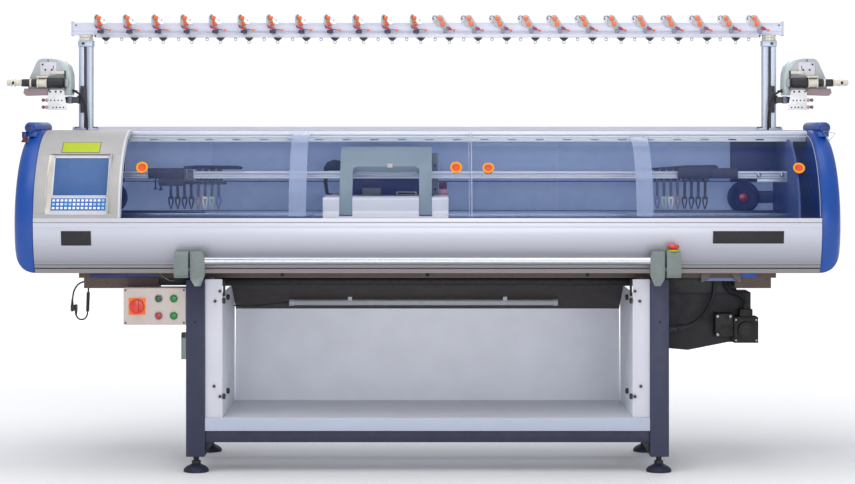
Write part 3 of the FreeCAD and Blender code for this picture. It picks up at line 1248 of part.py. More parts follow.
def hanging_cable():
    """Lead under the left end of the beam, hanging free, with its pair of connectors."""
    plugs = [box((x, x + PLUG[0]), (y, y + PLUG[1]), (z, z + PLUG[2])) for x, y, z in PLUG_PLACES]
    return group([cable(HANGING_DROP, 3), cable(HANGING_LOOP, 3)] + plugs)


# ---------------------------------------------------------------- all sub-parts
def all_nodes():
    last = CARRIERS_EACH_SIDE - 1
    nodes = {
        "base_frame": base_frame(),
        "levelling_feet": levelling_feet(),
        "bin_floor": bin_floor(),
        "bin_sides": bin_sides(),
        "chute_panel": chute_panel(),
        "panel_screws": panel_screws(),
        "lamp": lamp(),
        "front_bed_beam": front_bed_beam(),
        "rear_bed_beam": rear_bed_beam(),
        "front_needle_bed": needle_bed(),
        "rear_needle_bed": rear_needle_bed(),
        "carriage_rails": carriage_rails(),
        "side_frames": side_frames(),
        "yarn_rails": yarn_rails(),
        "front_panel": front_panel(),
        "end_caps": end_caps(),
        "side_tensioners": side_tensioners(),
        "console_housing": console_housing(),
        "screen_bezel": screen_bezel(),
        "screen": screen(),
        "keypad": keypad(),
        "slotted_strip": slotted_strip(),
        "cone_table": cone_table(),
        "rear_cover": rear_cover(),
        "posts": posts(),
        "top_beam": top_beam(),
        "tension_units": tension_units(),
        "tension_knobs": tension_knobs(),
        "yarn_eyelets": yarn_eyelets(),
        "feeder_housings": group(both_sides(feeder_housing())),
        "feeder_brackets": group(both_sides(feeder_bracket())),
        "switch_box": switch_box(),
        "bar_brackets": bar_brackets(),
        "motor_cover": motor_cover(),
        "takedown_motor": takedown_motor(),
        "drive_belt": drive_belt(),
        "yarn_carriers": yarn_carriers(),
        "machine_cables": machine_cables(),
        "hanging_cable": hanging_cable(),
        "door_left": door(LEFT_DOOR_X, DOOR_R, GRIPS_LEFT),
        "door_left_fittings": door_fittings(LEFT_DOOR_X, DOOR_R, GRIPS_LEFT),
        "door_right": door(RIGHT_DOOR_X, RIGHT_DOOR_R, GRIPS_RIGHT),
        "door_right_fittings": door_fittings(RIGHT_DOOR_X, RIGHT_DOOR_R, GRIPS_RIGHT),
        "cam_boxes": cam_boxes(),
        "carriage_covers": carriage_covers(),
        "carriage_arch": carriage_arch(),
        "drive_pulley": pulley(PULLEY_X),
        "idler_pulley": pulley(-PULLEY_X),
        "takedown_roller": takedown_roller(),
        "start_bar": start_bar(),
        "stop_button": stop_button(),
        "main_switch_handle": main_switch_handle(),
        "yarn_carrier_left": carrier(CARRIER_LEFT + last * CARRIER_PITCH, last),
        "yarn_carrier_right": carrier(CARRIER_RIGHT - last * CARRIER_PITCH, last),
    }
    left_roller, right_roller = both_sides(feeder_roller())[::-1]
    nodes["feeder_roller_left"] = left_roller
    nodes["feeder_roller_right"] = right_roller
    for number, place in enumerate(button_places(), start=1):
        nodes["push_button_" + str(number)] = push_button(place)
    return nodes


def main():
    os.makedirs("parts", exist_ok=True)
    for name, shape in all_nodes().items():
        if not shape.isValid():
            print("not valid:", name)
        shape.exportStep("parts/" + name + ".step")
        size = shape.BoundBox
        spans = (size.XMin, size.XMax, size.YMin, size.YMax, size.ZMin, size.ZMax)
        print(name, len(shape.Solids), "solids", round(shape.Volume / 1000), "cm3", [round(v) for v in spans])


main()
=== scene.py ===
"""Looks of the flat knitting machine: camera, light, materials and detailed pieces.

Places and sizes are in millimetres, as in the part, unless a comment says metres. Piece turns them into metres.
"""

import json
import math

import bmesh
import bpy
from mathutils import Matrix, Vector


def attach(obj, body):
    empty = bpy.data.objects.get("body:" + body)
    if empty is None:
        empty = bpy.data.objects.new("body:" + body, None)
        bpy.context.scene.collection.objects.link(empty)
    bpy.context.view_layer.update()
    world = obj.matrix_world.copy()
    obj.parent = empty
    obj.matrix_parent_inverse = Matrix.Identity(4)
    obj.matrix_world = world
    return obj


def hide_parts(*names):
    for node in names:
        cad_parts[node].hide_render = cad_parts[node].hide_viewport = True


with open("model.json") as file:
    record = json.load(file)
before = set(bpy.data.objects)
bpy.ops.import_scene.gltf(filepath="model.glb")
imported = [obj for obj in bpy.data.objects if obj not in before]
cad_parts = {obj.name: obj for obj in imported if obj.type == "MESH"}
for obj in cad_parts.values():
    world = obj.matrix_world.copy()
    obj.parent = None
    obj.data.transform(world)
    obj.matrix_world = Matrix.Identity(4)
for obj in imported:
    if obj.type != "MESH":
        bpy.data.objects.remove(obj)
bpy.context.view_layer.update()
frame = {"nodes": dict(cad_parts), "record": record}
SLOT_OF = {part["node"]: part["material_slot"] for part in frame["record"]["subparts"]}
BODY_OF = {node: body for body, nodes in frame["record"]["behaviour"]["bodies"].items() for node in nodes}
MAIN = "machine_frame"
UP, DOWN, FRONT, BACK, RIGHT, LEFT = (0, 0, 1), (0, 0, -1), (0, -1, 0), (0, 1, 0), (1, 0, 0), (-1, 0, 0)

# ---- sizes shared with the part
BARREL_R = 347.0
BARREL_Y = -104.0
BARREL_Z = 921.0
BODY_HALF = 1450.0
CAP_REAR = 238.0
PANEL_LOW = 740.0
DOOR_R = 345.0
RIGHT_DOOR_R = 329.0
BEAM_Z = 1642.0
BEAM_TALL = 48.0
POST_X = 1344.0
POST_Y = 160.0
UNITS = 24
UNIT_PITCH = 112.2
UNIT_TURN = 62.0
ROLLER_Y = 8.0
ROLLER_Z = 1451.0
TIP_END = 1630.0


# ---- materials
def rgb(*values):
    """sRGB values of 0 to 255 as a linear colour."""
    linear = [((v / 255 + 0.055) / 1.055) ** 2.4 if v > 10 else v / 255 / 12.92 for v in values]
    return (*linear, 1.0)


def shade(colour, factor):
    return (*[min(1.0, c * factor) for c in colour[:3]], 1.0)


class Graph:
    """Short way to wire the nodes of a material or world."""

    def __init__(self, name, group=bpy.data.materials):
        self.owner = group.new(name)
        self.owner.use_nodes = True
        self.nodes = self.owner.node_tree.nodes
        self.links = self.owner.node_tree.links

    def place(self):
        return self.node("TexCoord", "Object")

    def feed(self, node, **inputs):
        """Link or set inputs of a node, named with _ for a blank."""
        for name, value in inputs.items():
            socket = node.inputs[name.replace("_", " ")]
            if isinstance(value, bpy.types.NodeSocket):
                self.links.new(value, socket)
            else:
                socket.default_value = value

    def node(self, kind, output, **inputs):
        """One output of a new node."""
        node = self.nodes.new("ShaderNode" + kind)
        self.feed(node, **inputs)
        return node.outputs[output]

    def noise(self, scale, detail=3.0, stretch=(1, 1, 1)):
        place = self.node("Mapping", "Vector", Vector=self.place(), Scale=stretch)
        return self.node("TexNoise", "Fac", Vector=place, Scale=scale, Detail=detail)

    def ramp(self, value, low, high, start=0.3, end=0.7):
        node = self.nodes.new("ShaderNodeValToRGB")
        for element, place, colour in zip(node.color_ramp.elements, (start, end), (low, high)):
            element.position, element.color = place, colour
        self.feed(node, Fac=value)
        return node.outputs["Color"]

    def tones(self, value, colour, low, high):
        """One colour between two shades of it."""
        return self.ramp(value, shade(colour, low), shade(colour, high))

    def remap(self, value, low, high, span=(0.3, 0.7)):
        return self.node("MapRange", "Result", Value=value, From_Min=span[0], From_Max=span[1], To_Min=low,
                         To_Max=high)

    def mix(self, factor, first, second):
        node = self.nodes.new("ShaderNodeMix")
        node.data_type = "RGBA"
        self.feed(node, Factor=factor, A=first, B=second)
        return node.outputs["Result"]

    def worn_edges(self, colour, bare):
        """Mix in the bare colour where the surface's edges stick out."""
        edge = self.ramp(self.node("NewGeometry", "Pointiness"), (0, 0, 0, 1), (1, 1, 1, 1), 0.56, 0.64)
        return self.mix(edge, colour, bare)

    def done(self, bump=None, depth=0.0, strength=1.0, **inputs):
        """The finished material: a bump with its depth in metres, and the shader's other inputs."""
        if bump is not None:
            inputs["Normal"] = self.node("Bump", "Normal", Height=bump, Distance=depth, Strength=strength)
        self.feed(self.nodes["Principled BSDF"], **inputs)
        return self.owner


def paint(name, colour, rough=0.42, wear=None):
    """Powder coat or paint: faint clouds, orange peel, rubbed edges."""
    g = Graph(name)
    clouds = g.tones(g.noise(9.0, 4.0), colour, 0.97, 1.03)
    return g.done(g.noise(520.0, 2.0), 0.00006,
                  Base_Color=g.worn_edges(clouds, rgb(*wear) if wear else shade(colour, 1.35)),
                  Roughness=g.remap(g.noise(26.0, 5.0), rough - 0.06, rough + 0.08))


def brushed(name, colour, rough=0.32, along=(1, 260, 260), metallic=1.0):
    """Metal with fine lines along one direction."""
    g = Graph(name)
    lines = g.noise(6.0, 6.0, along)
    return g.done(lines, 0.00003, Base_Color=g.tones(lines, colour, 0.88, 1.06),
                  Roughness=g.remap(lines, rough - 0.07, rough + 0.09), Metallic=metallic)


def faded(name, colour, low, high, share):
    """Brushed panel with painted shade: its tone deepens to a share from one height down to another, in metres,
    darker towards the bottom as if less light reached it.
    """
    g = Graph(name)
    lines = g.noise(6.0, 6.0, (0.5, 90, 90))
    height = g.remap(g.node("SeparateXYZ", "Z", Vector=g.place()), 0.0, 1.0, (low, high))
    # Painted shade: the darker tone the panel takes below the upper height.
    painted_shade_tone = g.tones(lines, colour, share * 0.97, share * 1.03)
    return g.done(lines, 0.00001, Base_Color=g.mix(height, painted_shade_tone, g.tones(lines, colour, 0.97, 1.03)),
                  Roughness=g.remap(lines, 0.34, 0.46), Metallic=0.3)


def moulded(name, colour, rough=0.4, grain=0.00005, coat=0.0):
    """Moulded plastic: fine grain, slight mottling and scuffs."""
    g = Graph(name)
    return g.done(g.noise(900.0, 2.0), grain, Base_Color=g.tones(g.noise(14.0, 5.0), colour, 0.94, 1.04),
                  Roughness=g.remap(g.noise(40.0, 6.0), rough - 0.05, rough + 0.1),
                  Coat_Weight=coat, Coat_Roughness=0.05)


def cast(name, colour, rough=0.55):
    """Cast iron or painted casting with a pebbly skin."""
    g = Graph(name)
    pits = g.noise(240.0, 5.0)
    return g.done(pits, 0.0003, 0.6,
                  Base_Color=g.worn_edges(g.tones(pits, colour, 0.8, 1.12), shade(colour, 1.6)),
                  Roughness=g.remap(g.noise(60.0, 4.0), rough - 0.1, rough + 0.12))


def rubber(name, colour):
    g = Graph(name)
    return g.done(g.noise(1100.0, 3.0), 0.00008, Base_Color=g.tones(g.noise(60.0, 6.0), colour, 0.7, 1.5),
                  Roughness=g.remap(g.noise(150.0, 4.0), 0.5, 0.72))


def acrylic(name, colour, alpha):
    """Smoky see-through sheet with faint scratches."""
    g = Graph(name)
    return g.done(g.noise(2.2, 2.0), 0.0006, Base_Color=g.tones(g.noise(3.0, 3.0), colour, 0.92, 1.08),
                  Roughness=g.remap(g.noise(30.0, 8.0, (1, 6, 6)), 0.03, 0.12), Alpha=alpha, IOR=1.49)


def film(name, colour, alpha):
    """Milky strip on a see-through sheet; also the pale door edges, which are painted highlights."""
    g = Graph(name)
    return g.done(g.noise(260.0, 2.0), 0.00002, Base_Color=g.tones(g.noise(7.0, 4.0), colour, 0.94, 1.05),
                  Roughness=g.remap(g.noise(50.0, 4.0), 0.25, 0.4), Alpha=alpha)


def glowing(name, colour, strength, rough=0.3):
    g = Graph(name)
    base = g.tones(g.noise(25.0, 3.0), colour, 0.93, 1.05)
    return g.done(Base_Color=base, Emission_Color=base, Emission_Strength=strength,
                  Roughness=g.remap(g.noise(80.0, 3.0), rough - 0.05, rough + 0.1))


# Each finish: sRGB colour, then the settings of its kind.
FINISHES = {
    paint: {
        "frame_paint": ((36, 40, 68), 0.5, (92, 98, 124)),
        "screw_black": ((38, 38, 42), 0.35, (110, 110, 115)),
        "carrier_dark": ((14, 20, 42), 0.55, (100, 106, 124)),
        "white_paint": ((238, 241, 250), 0.5),
        "dark_paint": ((66, 70, 84), 0.5),
        "bracket_black": ((48, 50, 56), 0.45),
        "box_grey": ((196, 184, 178), 0.45),
        "guard_grey": ((27, 23, 31), 0.6),
        "cam_steel": ((34, 46, 92), 0.5),
        "cover_white": ((214, 218, 228), 0.45),
        # Lit copy of cover_white: painted light on the carriage covers' lower faces and top edge.
        "cover_bright": ((240, 241, 246), 0.4),
        "arch_grey": ((126, 144, 152), 0.4),
        "rust_red": ((84, 30, 34), 0.5),
        "rail_brown": ((92, 82, 80), 0.5),
        "taupe": ((146, 128, 132), 0.45),
        "slate_blue": ((104, 112, 158), 0.4),
        "dusk_blue": ((58, 76, 128), 0.5),
        # Upper faces of the chute: painted shade where they face down under the body.
        "chute_dark": ((58, 51, 49), 0.55),
        "flange_white": ((206, 206, 216), 0.5),
        "lip_grey": ((178, 186, 204), 0.5),
    },
    cast: {
        "foot_iron": ((30, 32, 40), 0.5),
        "foot_blue": ((24, 31, 58), 0.6),
        "beam_iron": ((84, 70, 65), 0.6),
        "casting_grey": ((118, 128, 126), 0.5),
        "motor_black": ((7, 6, 6), 0.6),
    },
    brushed: {
        "bed_steel": ((132, 146, 176), 0.34, (260, 1, 1)),
        "strip_white": ((226, 232, 244), 0.42, (0.5, 90, 90), 0.15),
        "rail_aluminium": ((180, 188, 204), 0.38, (0.5, 120, 120), 0.6),
        "bar_chrome": ((196, 199, 204), 0.26, (0.5, 90, 90)),
        "steel_wire": ((150, 152, 158), 0.3, (40, 40, 1)),
        # Strip along the front panel's bottom edge: a separate part, its darker tone painted shade.
        "panel_low": ((150, 141, 141), 0.42, (0.5, 90, 90), 0.3),
        "beam_lilac": ((205, 207, 222), 0.4, (0.5, 120, 120), 0.25),
    },
    # The front panel darkens towards its bottom edge: painted shade.
    faded: {"panel_aluminium": ((206, 208, 220), 0.765, 0.905, 0.45)},
    moulded: {
        "cap_blue": ((3, 70, 156), 0.4, 0.00002, 0.1),
        "cap_dark": ((10, 34, 96), 0.4, 0.00003, 0.1),
        "console_grey": ((172, 170, 169), 0.5),
        "console_light": ((206, 208, 214), 0.45),
        "bezel_cream": ((216, 210, 196), 0.45),
        "panel_lilac": ((206, 204, 214), 0.4),
        "keypad_blue": ((38, 88, 172), 0.35),
        "key_white": ((220, 232, 246), 0.35),
        "key_cyan": ((130, 206, 222), 0.35),
        "label_yellow": ((176, 192, 8), 0.5),
        "label_edge": ((104, 98, 92), 0.45),
        "label_black": ((18, 15, 22), 0.5),
        "seam_black": ((20, 20, 22), 0.5),
        "moulded_black": ((24, 24, 26), 0.35),
        "groove_tan": ((150, 138, 142), 0.5),
        # Pale strips along the yarn rail's face: painted highlights.
        "edge_white": ((222, 232, 246), 0.4),
        "unit_grey": ((186, 186, 192), 0.4),
        "unit_blue": ((128, 140, 158), 0.4),
        "knob_orange": ((245, 110, 28), 0.28, 0.00003, 0.4),
        "eyelet_black": ((30, 30, 34), 0.3, 0.00003, 0.3),
        "ring_grey": ((150, 150, 156), 0.3, 0.00002, 0.3),
        "magenta": ((160, 40, 92), 0.4, 0.00003, 0.1),
        "disc_white": ((232, 232, 238), 0.2, 0.00002, 0.5),
        "post_slot": ((58, 56, 66), 0.5),
        "feeder_grey": ((172, 178, 180), 0.42),
        "feeder_pale": ((186, 198, 200), 0.4, 0.00003, 0.2),
        "ceramic_white": ((224, 224, 224), 0.3, 0.00002, 0.3),
        "ceramic_cream": ((212, 206, 188), 0.3, 0.00002, 0.4),
        "pink_ceramic": ((196, 140, 156), 0.35, 0.00002, 0.3),
        "olive": ((104, 92, 70), 0.4),
        "pale_green": ((190, 210, 200), 0.35),
        "grip_orange": ((226, 84, 0), 0.5, 0.00002),
        "grip_rim": ((240, 150, 0), 0.4, 0.00002, 0.1),
        "plate_orange": ((240, 112, 20), 0.4),
        "stop_red": ((206, 34, 34), 0.25, 0.00002, 0.4),
        "switch_red": ((214, 44, 20), 0.3, 0.00002, 0.4),
        "button_red": ((190, 30, 34), 0.3, 0.00002, 0.4),
        "button_green": ((20, 122, 62), 0.3, 0.00002, 0.4),
        "green_dark": ((14, 84, 48), 0.3, 0.00002, 0.4),
        "green_ring": ((60, 150, 70), 0.35, 0.00002, 0.3),
    },
    rubber: {"belt_rubber": ((30, 30, 34),), "cable_black": ((26, 26, 30),), "roller_rubber": ((34, 34, 40),)},
    acrylic: {"door_acrylic": ((44, 76, 156), 0.075), "door_clear": ((150, 170, 210), 0.03)},
    # The pale strips along the door edges are painted highlights.
    film: {"band_film": ((176, 190, 220), 0.45), "edge_film": ((206, 214, 232), 0.6)},
    glowing: {
        "lamp_white": ((176, 178, 186), 0.02),
        "screen_blue": ((44, 86, 144), 0.02, 0.4),
        # The rear wall's lining glows though it is no lamp: painted light.
        "lining_blue": ((184, 208, 255), 0.1, 0.5),
    },
}
M = {name: kind(name, rgb(*colour), *settings)
     for kind, finishes in FINISHES.items() for name, (colour, *settings) in finishes.items()}

for node, obj in frame["nodes"].items():
    obj.data.materials.clear()
    obj.data.materials.append(M[SLOT_OF[node]])


# ---- building helpers
replaced = set()
SIDES = (Matrix.Identity(4), Matrix.Scale(-1, 4, RIGHT))


def placed(name, data):
    """New object in the scene."""
    obj = bpy.data.objects.new(name, data)
    bpy.context.scene.collection.objects.link(obj)
    return obj


def link(name, data, body):
    obj = placed(name, data)
    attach(obj, body)
    return obj


def settle(obj, bevel, segments=2, angle=32.0):
    """Bevel sharp edges, then smooth-shade all but the edges that stay sharp."""
    if bevel:
        modifier = obj.modifiers.new("bevel", "BEVEL")
        modifier.width = bevel / 1000
        modifier.segments = segments
        modifier.limit_method = "ANGLE"
        modifier.angle_limit = math.radians(angle)
        evaluated = obj.evaluated_get(bpy.context.evaluated_depsgraph_get())
        mesh = bpy.data.meshes.new_from_object(evaluated)
        obj.modifiers.clear()
        obj.data = mesh
    obj.data.shade_smooth()
    obj.data.set_sharp_from_angle(angle=math.radians(angle))
    return obj


def stand_in(obj, node):
    """Let a piece stand for a CAD node."""
    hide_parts(node)
    replaced.add(node)


def dressed(node, bevel=1.2, finish=None):
    """A bevelled and smooth-shaded piece in the exact shape of a CAD node, which it replaces."""
    mesh = frame["nodes"][node].data.copy()
    bm = bmesh.new()
    bm.from_mesh(mesh)
    bmesh.ops.remove_doubles(bm, verts=bm.verts, dist=0.00002)
    bmesh.ops.dissolve_limit(bm, angle_limit=math.radians(0.5), verts=bm.verts, edges=bm.edges)
    bm.to_mesh(mesh)
    bm.free()
    if finish:
        mesh.materials[0] = M[finish]
    obj = settle(link("dressed_" + node, mesh, BODY_OF[node]), bevel)
    stand_in(obj, node)
    return obj


def two_tone(node, finish, chosen, bevel=1.2):
    """A dressed node whose chosen faces have a second finish."""
    obj = dressed(node, bevel)
    obj.data.materials.append(M[finish])
    for face in obj.data.polygons:
        if chosen(face):
            face.material_index = 1


def circle(count):
    """Cosine and sine of evenly spaced turns."""
    return [(math.cos(2 * math.pi * i / count), math.sin(2 * math.pi * i / count)) for i in range(count)]


def upright_to(axis):
    return Vector(UP).rotation_difference(Vector(axis)).to_matrix()


class Piece:
    """A mesh gathered from simple forms, each with its own finish or that of the piece's slot."""

    def __init__(self, name, slot, body=MAIN):
        self.name, self.slot, self.body = name, slot, body
        self.bm = bmesh.new()
        self.finishes = []
        self.place = SIDES[0]

    def add(self, points, faces, finish):
        finish = finish or self.slot
        if finish not in self.finishes:
            self.finishes.append(finish)
        verts = [self.bm.verts.new((self.place @ Vector(p)) * 0.001) for p in points]
        for corners in faces:
            face = self.bm.faces.new([verts[i] for i in corners])
            face.material_index = self.finishes.index(finish)

    def shell(self, rings, finish=None, loop=False):
        """Skin over rings of matching corners, with flat ends or joined end to end."""
        count = len(rings[0])
        faces = []
        for row in range(len(rings) if loop else len(rings) - 1):
            low, high = row * count, (row + 1) % len(rings) * count
            faces += [(low + i, low + (i + 1) % count, high + (i + 1) % count, high + i) for i in range(count)]
        if not loop:
            faces += [tuple(range(count)), tuple(range((len(rings) - 1) * count, len(rings) * count))]
        self.add([p for ring in rings for p in ring], faces, finish)

    def prism(self, axis, outline, span, finish=None):
        """Outline in the two other axes, run along one axis between two places."""
        order = {"x": lambda a, b, s: (s, a, b), "y": lambda a, b, s: (a, s, b), "z": lambda a, b, s: (a, b, s)}
        self.shell([[order[axis](a, b, s) for a, b in outline] for s in span], finish)

    def box(self, x, y, z, finish=None):
        self.prism("z", [(x[0], y[0]), (x[1], y[0]), (x[1], y[1]), (x[0], y[1])], z, finish)

    def turned(self, profile, place, axis, sides, finish=None, loop=False):
        """Turned form: (radius, height) steps along an axis from a place; looped, it is an open ring."""
        turn = upright_to(axis)
        self.shell([[Vector(place) + turn @ Vector((radius * c, radius * s, height)) for c, s in circle(sides)]
                    for radius, height in profile], finish, loop)

    def disc(self, radius, tall, place, axis, sides, finish=None):
        self.turned([(radius, 0), (radius, tall)], place, axis, sides, finish)

    def hoop(self, place, axis, radius, thick, sides, tube, finish=None):
        """Ring of round wire."""
        turn = upright_to(axis)
        rings = []
        for c, s in circle(sides):
            way = Vector((c, s, 0))
            rings.append([Vector(place) + turn @ (way * (radius + thick * out) + Vector((0, 0, thick * up)))
                          for out, up in circle(tube)])
        self.shell(rings, finish, loop=True)

    def pipe(self, path, radius, finish=None, sides=8):
        """Round wire or tube along a path of points."""
        points = [Vector(p) for p in path]
        ways = [(b - a).normalized() for a, b in zip(points, points[1:])]
        ways = [ways[0]] + [(a + b).normalized() for a, b in zip(ways, ways[1:])] + [ways[-1]]
        side = ways[0].orthogonal().normalized()
        rings = []
        for point, way in zip(points, ways):
            side = (side - way * side.dot(way)).normalized()
            up = way.cross(side)
            rings.append([point + (side * c + up * s) * radius for c, s in circle(sides)])
        self.shell(rings, finish)

    def band(self, outer, thick, start, end, x, steps, finish=None):
        """Curved plate between two angles round the barrel axis."""
        rings = []
        for i in range(steps + 1):
            angle = start + (end - start) * i / steps
            far, near = on_barrel(outer, angle), on_barrel(outer - thick, angle)
            rings.append([(x[0], *far), (x[1], *far), (x[1], *near), (x[0], *near)])
        self.shell(rings, finish)

    def done(self, bevel=0.0, segments=2, angle=32.0, replaces=None):
        bmesh.ops.recalc_face_normals(self.bm, faces=self.bm.faces)
        mesh = bpy.data.meshes.new(self.name)
        self.bm.to_mesh(mesh)
        self.bm.free()
        for finish in self.finishes:
            mesh.materials.append(M[finish])
        obj = settle(link(self.name, mesh, self.body), bevel, segments, angle)
        if replaces:
            stand_in(obj, replaces)
        return obj


def on_barrel(radius, angle):
    """(y, z) at an angle round the barrel axis: 90 is the top, 180 the front."""
    turn = math.radians(angle)
    return BARREL_Y + radius * math.cos(turn), BARREL_Z + radius * math.sin(turn)


def barrel_angle(z, radius=BARREL_R):
    """Angle in the front half of the barrel at a height."""
    return 180 - math.degrees(math.asin((z - BARREL_Z) / radius))


# ---- cables and cords
FEEDER_CABLE = [(1392, 100, 1422), (1372, 100, 1419), (1351, 101, 1396), (1340, 104, 1364), (1335, 106, 1330),
                (1333, 107, 1298), (1334, 107, 1268)]
LAMP_CABLE = [(-542, 120, 592), (-600, 120, 588), (-680, 120, 577), (-760, 120, 580)]
DRIVE_HOSE = [(894.3, -345, 531), (926, -345, 531), (966, -327, 537), (1006, -294, 553), (1042, -263, 581),
              (1068, -245, 622), (1082, -238, 668), (1082, -238, 715.7)]
MOTOR_CONDUIT = [(1120, -243, 715.7), (1120, -243, 692), (1135, -243, 664), (1181, -243, 649), (1196, -243, 621),
                 (1196, -243, 596.3)]
HANGING_DROP = [(-1285, -262, 700), (-1304, -262, 697), (-1324, -262, 676), (-1333, -262, 646), (-1334, -262, 614)]
HANGING_LOOP = [(-1320, -262, 588), (-1320, -262, 570), (-1308, -262, 557), (-1290, -262, 557), (-1278, -262, 570),
                (-1276, -262, 594), (-1275, -262, 634), (-1273, -262, 677)]


def routed(name, route):
    """NURBS curve along the control points of a route."""
    curve = bpy.data.curves.new(name, "CURVE")
    curve.dimensions = "3D"
    curve.resolution_u = 16
    spline = curve.splines.new("NURBS")
    spline.points.add(len(route) - 1)
    for point, place in zip(spline.points, route):
        point.co = (*[v / 1000 for v in place], 1.0)
    spline.order_u = 3
    spline.use_endpoint_u = True
    return curve


def tube(name, route, radius):
    """Smooth round cable along a route."""
    curve = routed(name, route)
    curve.bevel_depth = radius / 1000
    curve.bevel_resolution = 4
    curve.use_fill_caps = True
    curve.materials.append(M["cable_black"])
    return link(name, curve, MAIN)


def run_of(route):
    """Points along the curve of a route, read from the curve itself."""
    obj = placed("run", routed("run", route))
    evaluated = obj.evaluated_get(bpy.context.evaluated_depsgraph_get())
    mesh = bpy.data.meshes.new_from_object(evaluated)
    points = [vertex.co * 1000 for vertex in mesh.vertices]
    bpy.data.meshes.remove(mesh)
    bpy.data.objects.remove(obj)
    return points


def held_cables():
    """Cables held at both ends, and their glands."""
    mirrored = [(-x, y, z) for x, y, z in FEEDER_CABLE]
    for name, route, radius in (("feeder_cable_right", FEEDER_CABLE, 4), ("feeder_cable_left", mirrored, 4),
                                ("lamp_cable", LAMP_CABLE, 2.5), ("drive_hose", DRIVE_HOSE, 7),
                                ("motor_conduit", MOTOR_CONDUIT, 8.2)):
        stand_in(tube(name, route, radius), "machine_cables")
    fittings = Piece("cable_fittings", "cable_black")
    for fittings.place in SIDES:
        fittings.turned([(9, 0), (9, 5), (6, 8), (4.3, 24)], (1393, 100, 1422), (-1, 0, -0.15), 20)
    fittings.place = SIDES[0]
    fittings.turned([(5, 0), (4, 14), (2.7, 26)], (-542, 120, 592), (-1, 0, -0.07), 16)
    fittings.turned([(13, 0), (13, 10), (10, 14), (10, 30), (7.2, 34)], (894.5, -345, 531), RIGHT, 20)
    fittings.turned([(13, 0), (13, 8), (10.5, 12), (9.4, 22)], (1196, -243, 592), UP, 20)
    fittings.turned([(12, 0), (12, 12), (9, 16)], (1120, -243, 716), DOWN, 20)
    fittings.turned([(12, 0), (12, 10), (8, 14)], (1082, -238, 716), DOWN, 20)
    fittings.done(0.5)


def conduit_ribs():
    """Corrugation round the motor conduit and a clamp sleeve on the drive hose."""
    ribs = Piece("conduit_ribs", "cable_black")
    conduit = run_of(MOTOR_CONDUIT)[3:-2]
    for a, b in zip(conduit, conduit[1:]):
        ribs.hoop(a, b - a, 8.3, 1.5, 16, 5)
    hose = run_of(DRIVE_HOSE)
    for a, b in zip(hose[12:24:2], hose[13:25:2]):
        ribs.hoop(a, b - a, 8.2, 3.2, 16, 6)
    ribs.done()


def hanging_lead():
    """Lead on the left in two lengths: a drop with a plug and a loop that ends in a sleeve."""
    drop = tube("hanging_drop", HANGING_DROP, 3)
    loop = tube("hanging_loop", HANGING_LOOP, 3)
    plugs = Piece("hanging_plugs", "cable_black")
    for x in (-1340, -1327):
        plugs.box((x + 0.4, x + 12.6), (-268, -256), (590, 612), "moulded_black")
        plugs.box((x + 2.5, x + 10.5), (-267, -257), (587, 614), "moulded_black")
        plugs.box((x + 4, x + 9), (-269.5, -267.5), (596, 607), "moulded_black")
    plugs.turned([(5.5, 0), (4.4, 10), (3.1, 22)], (-1334, -262, 612), UP, 16)
    plugs.turned([(5.5, 0), (4.4, 8), (3.1, 18)], (-1320, -262, 590), DOWN, 16)
    piece = plugs.done(0.8)
    sleeve = Piece("hanging_sleeve", "cable_black")
    line = run_of(HANGING_LOOP)
    sleeve.pipe(line[len(line) * 7 // 10:-4], 6.2, sides=12)
    collar = sleeve.done()
    for shape in (drop, loop, piece, collar):
        stand_in(shape, "hanging_cable")


# ---- end caps and side tensioners
def cap_outline(inset, lift):
    """D-shaped side outline of the body, drawn in by a distance and lifted at the base."""
    radius = BARREL_R - inset
    base = PANEL_LOW + lift
    rear = CAP_REAR - inset
    corner = max(60 - inset, 12)
    start = barrel_angle(base, radius)
    points = [on_barrel(radius, start + (90 - start) * i / 36) for i in range(37)]
    middle = (rear - corner, BARREL_Z + radius - corner)
    for i in range(9):
        turn = math.radians(90 - 90 * i / 8)
        points.append((middle[0] + corner * math.cos(turn), middle[1] + corner * math.sin(turn)))
    return points + [(rear, base)]


def end_caps():
    """Moulded D-shaped shells with a rounded edge and a groove where they meet the body."""
    caps = Piece("end_cap_shells", "cap_blue")
    steps = [(0, 3, 3), (3, 3, 3), (3.1, 0, 0), (20, 0.5, 3), (34, 3, 9), (46, 7, 17), (56, 13, 29), (64, 20, 42),
             (70, 30, 58), (75, 46, 78), (80, 70, 102), (84, 102, 132), (87, 145, 168), (88, 190, 204)]
    for caps.place in SIDES:
        caps.shell([[(BODY_HALF + out, y, z) for y, z in cap_outline(inset, lift)] for out, inset, lift in steps])
    caps.done(angle=40, replaces="end_caps")


def side_tensioners():
    """Blue drums on top of the caps, with the stops and the bent wire at their front."""
    drums = Piece("tensioner_drums", "cap_blue")
    x, z, r = 1496, 1277, 21
    profile = [(r - 6, -6), (r - 5, -6), (r - 5, -1), (r - 2, 0), (r, 3), (r, 380)]
    profile += [(r - 14 + 14 * math.cos(math.radians(a)), 381 + 14 * math.sin(math.radians(a)))
                for a in range(0, 91, 15)]
    for drums.place in SIDES:
        drums.turned(profile, (x, -243, z), BACK, 40)
        drums.turned([(r - 8, -7), (r - 8, -5)], (x, -243, z), BACK, 32, "cap_dark")
        drums.box((x - 24, x + 16), (-236, 140), (z - 34, z - 14))
    drums.done(2.0, 3, replaces="side_tensioners")
    stops = Piece("tensioner_stops", "cap_blue")
    stops.box((-1524, -1508), (-258, -238), (1238, 1262), "cap_dark")
    stops.prism("y", [(-1528, 1222), (-1510, 1222), (-1502, 1244), (-1518, 1244)], (-256, -242), "rust_red")
    stops.pipe([(1488, -250, 1264), (1533, -250, 1256), (1511, -254, 1228), (1488, -250, 1262)], 1.6, "steel_wire")
    stops.done(1.0)


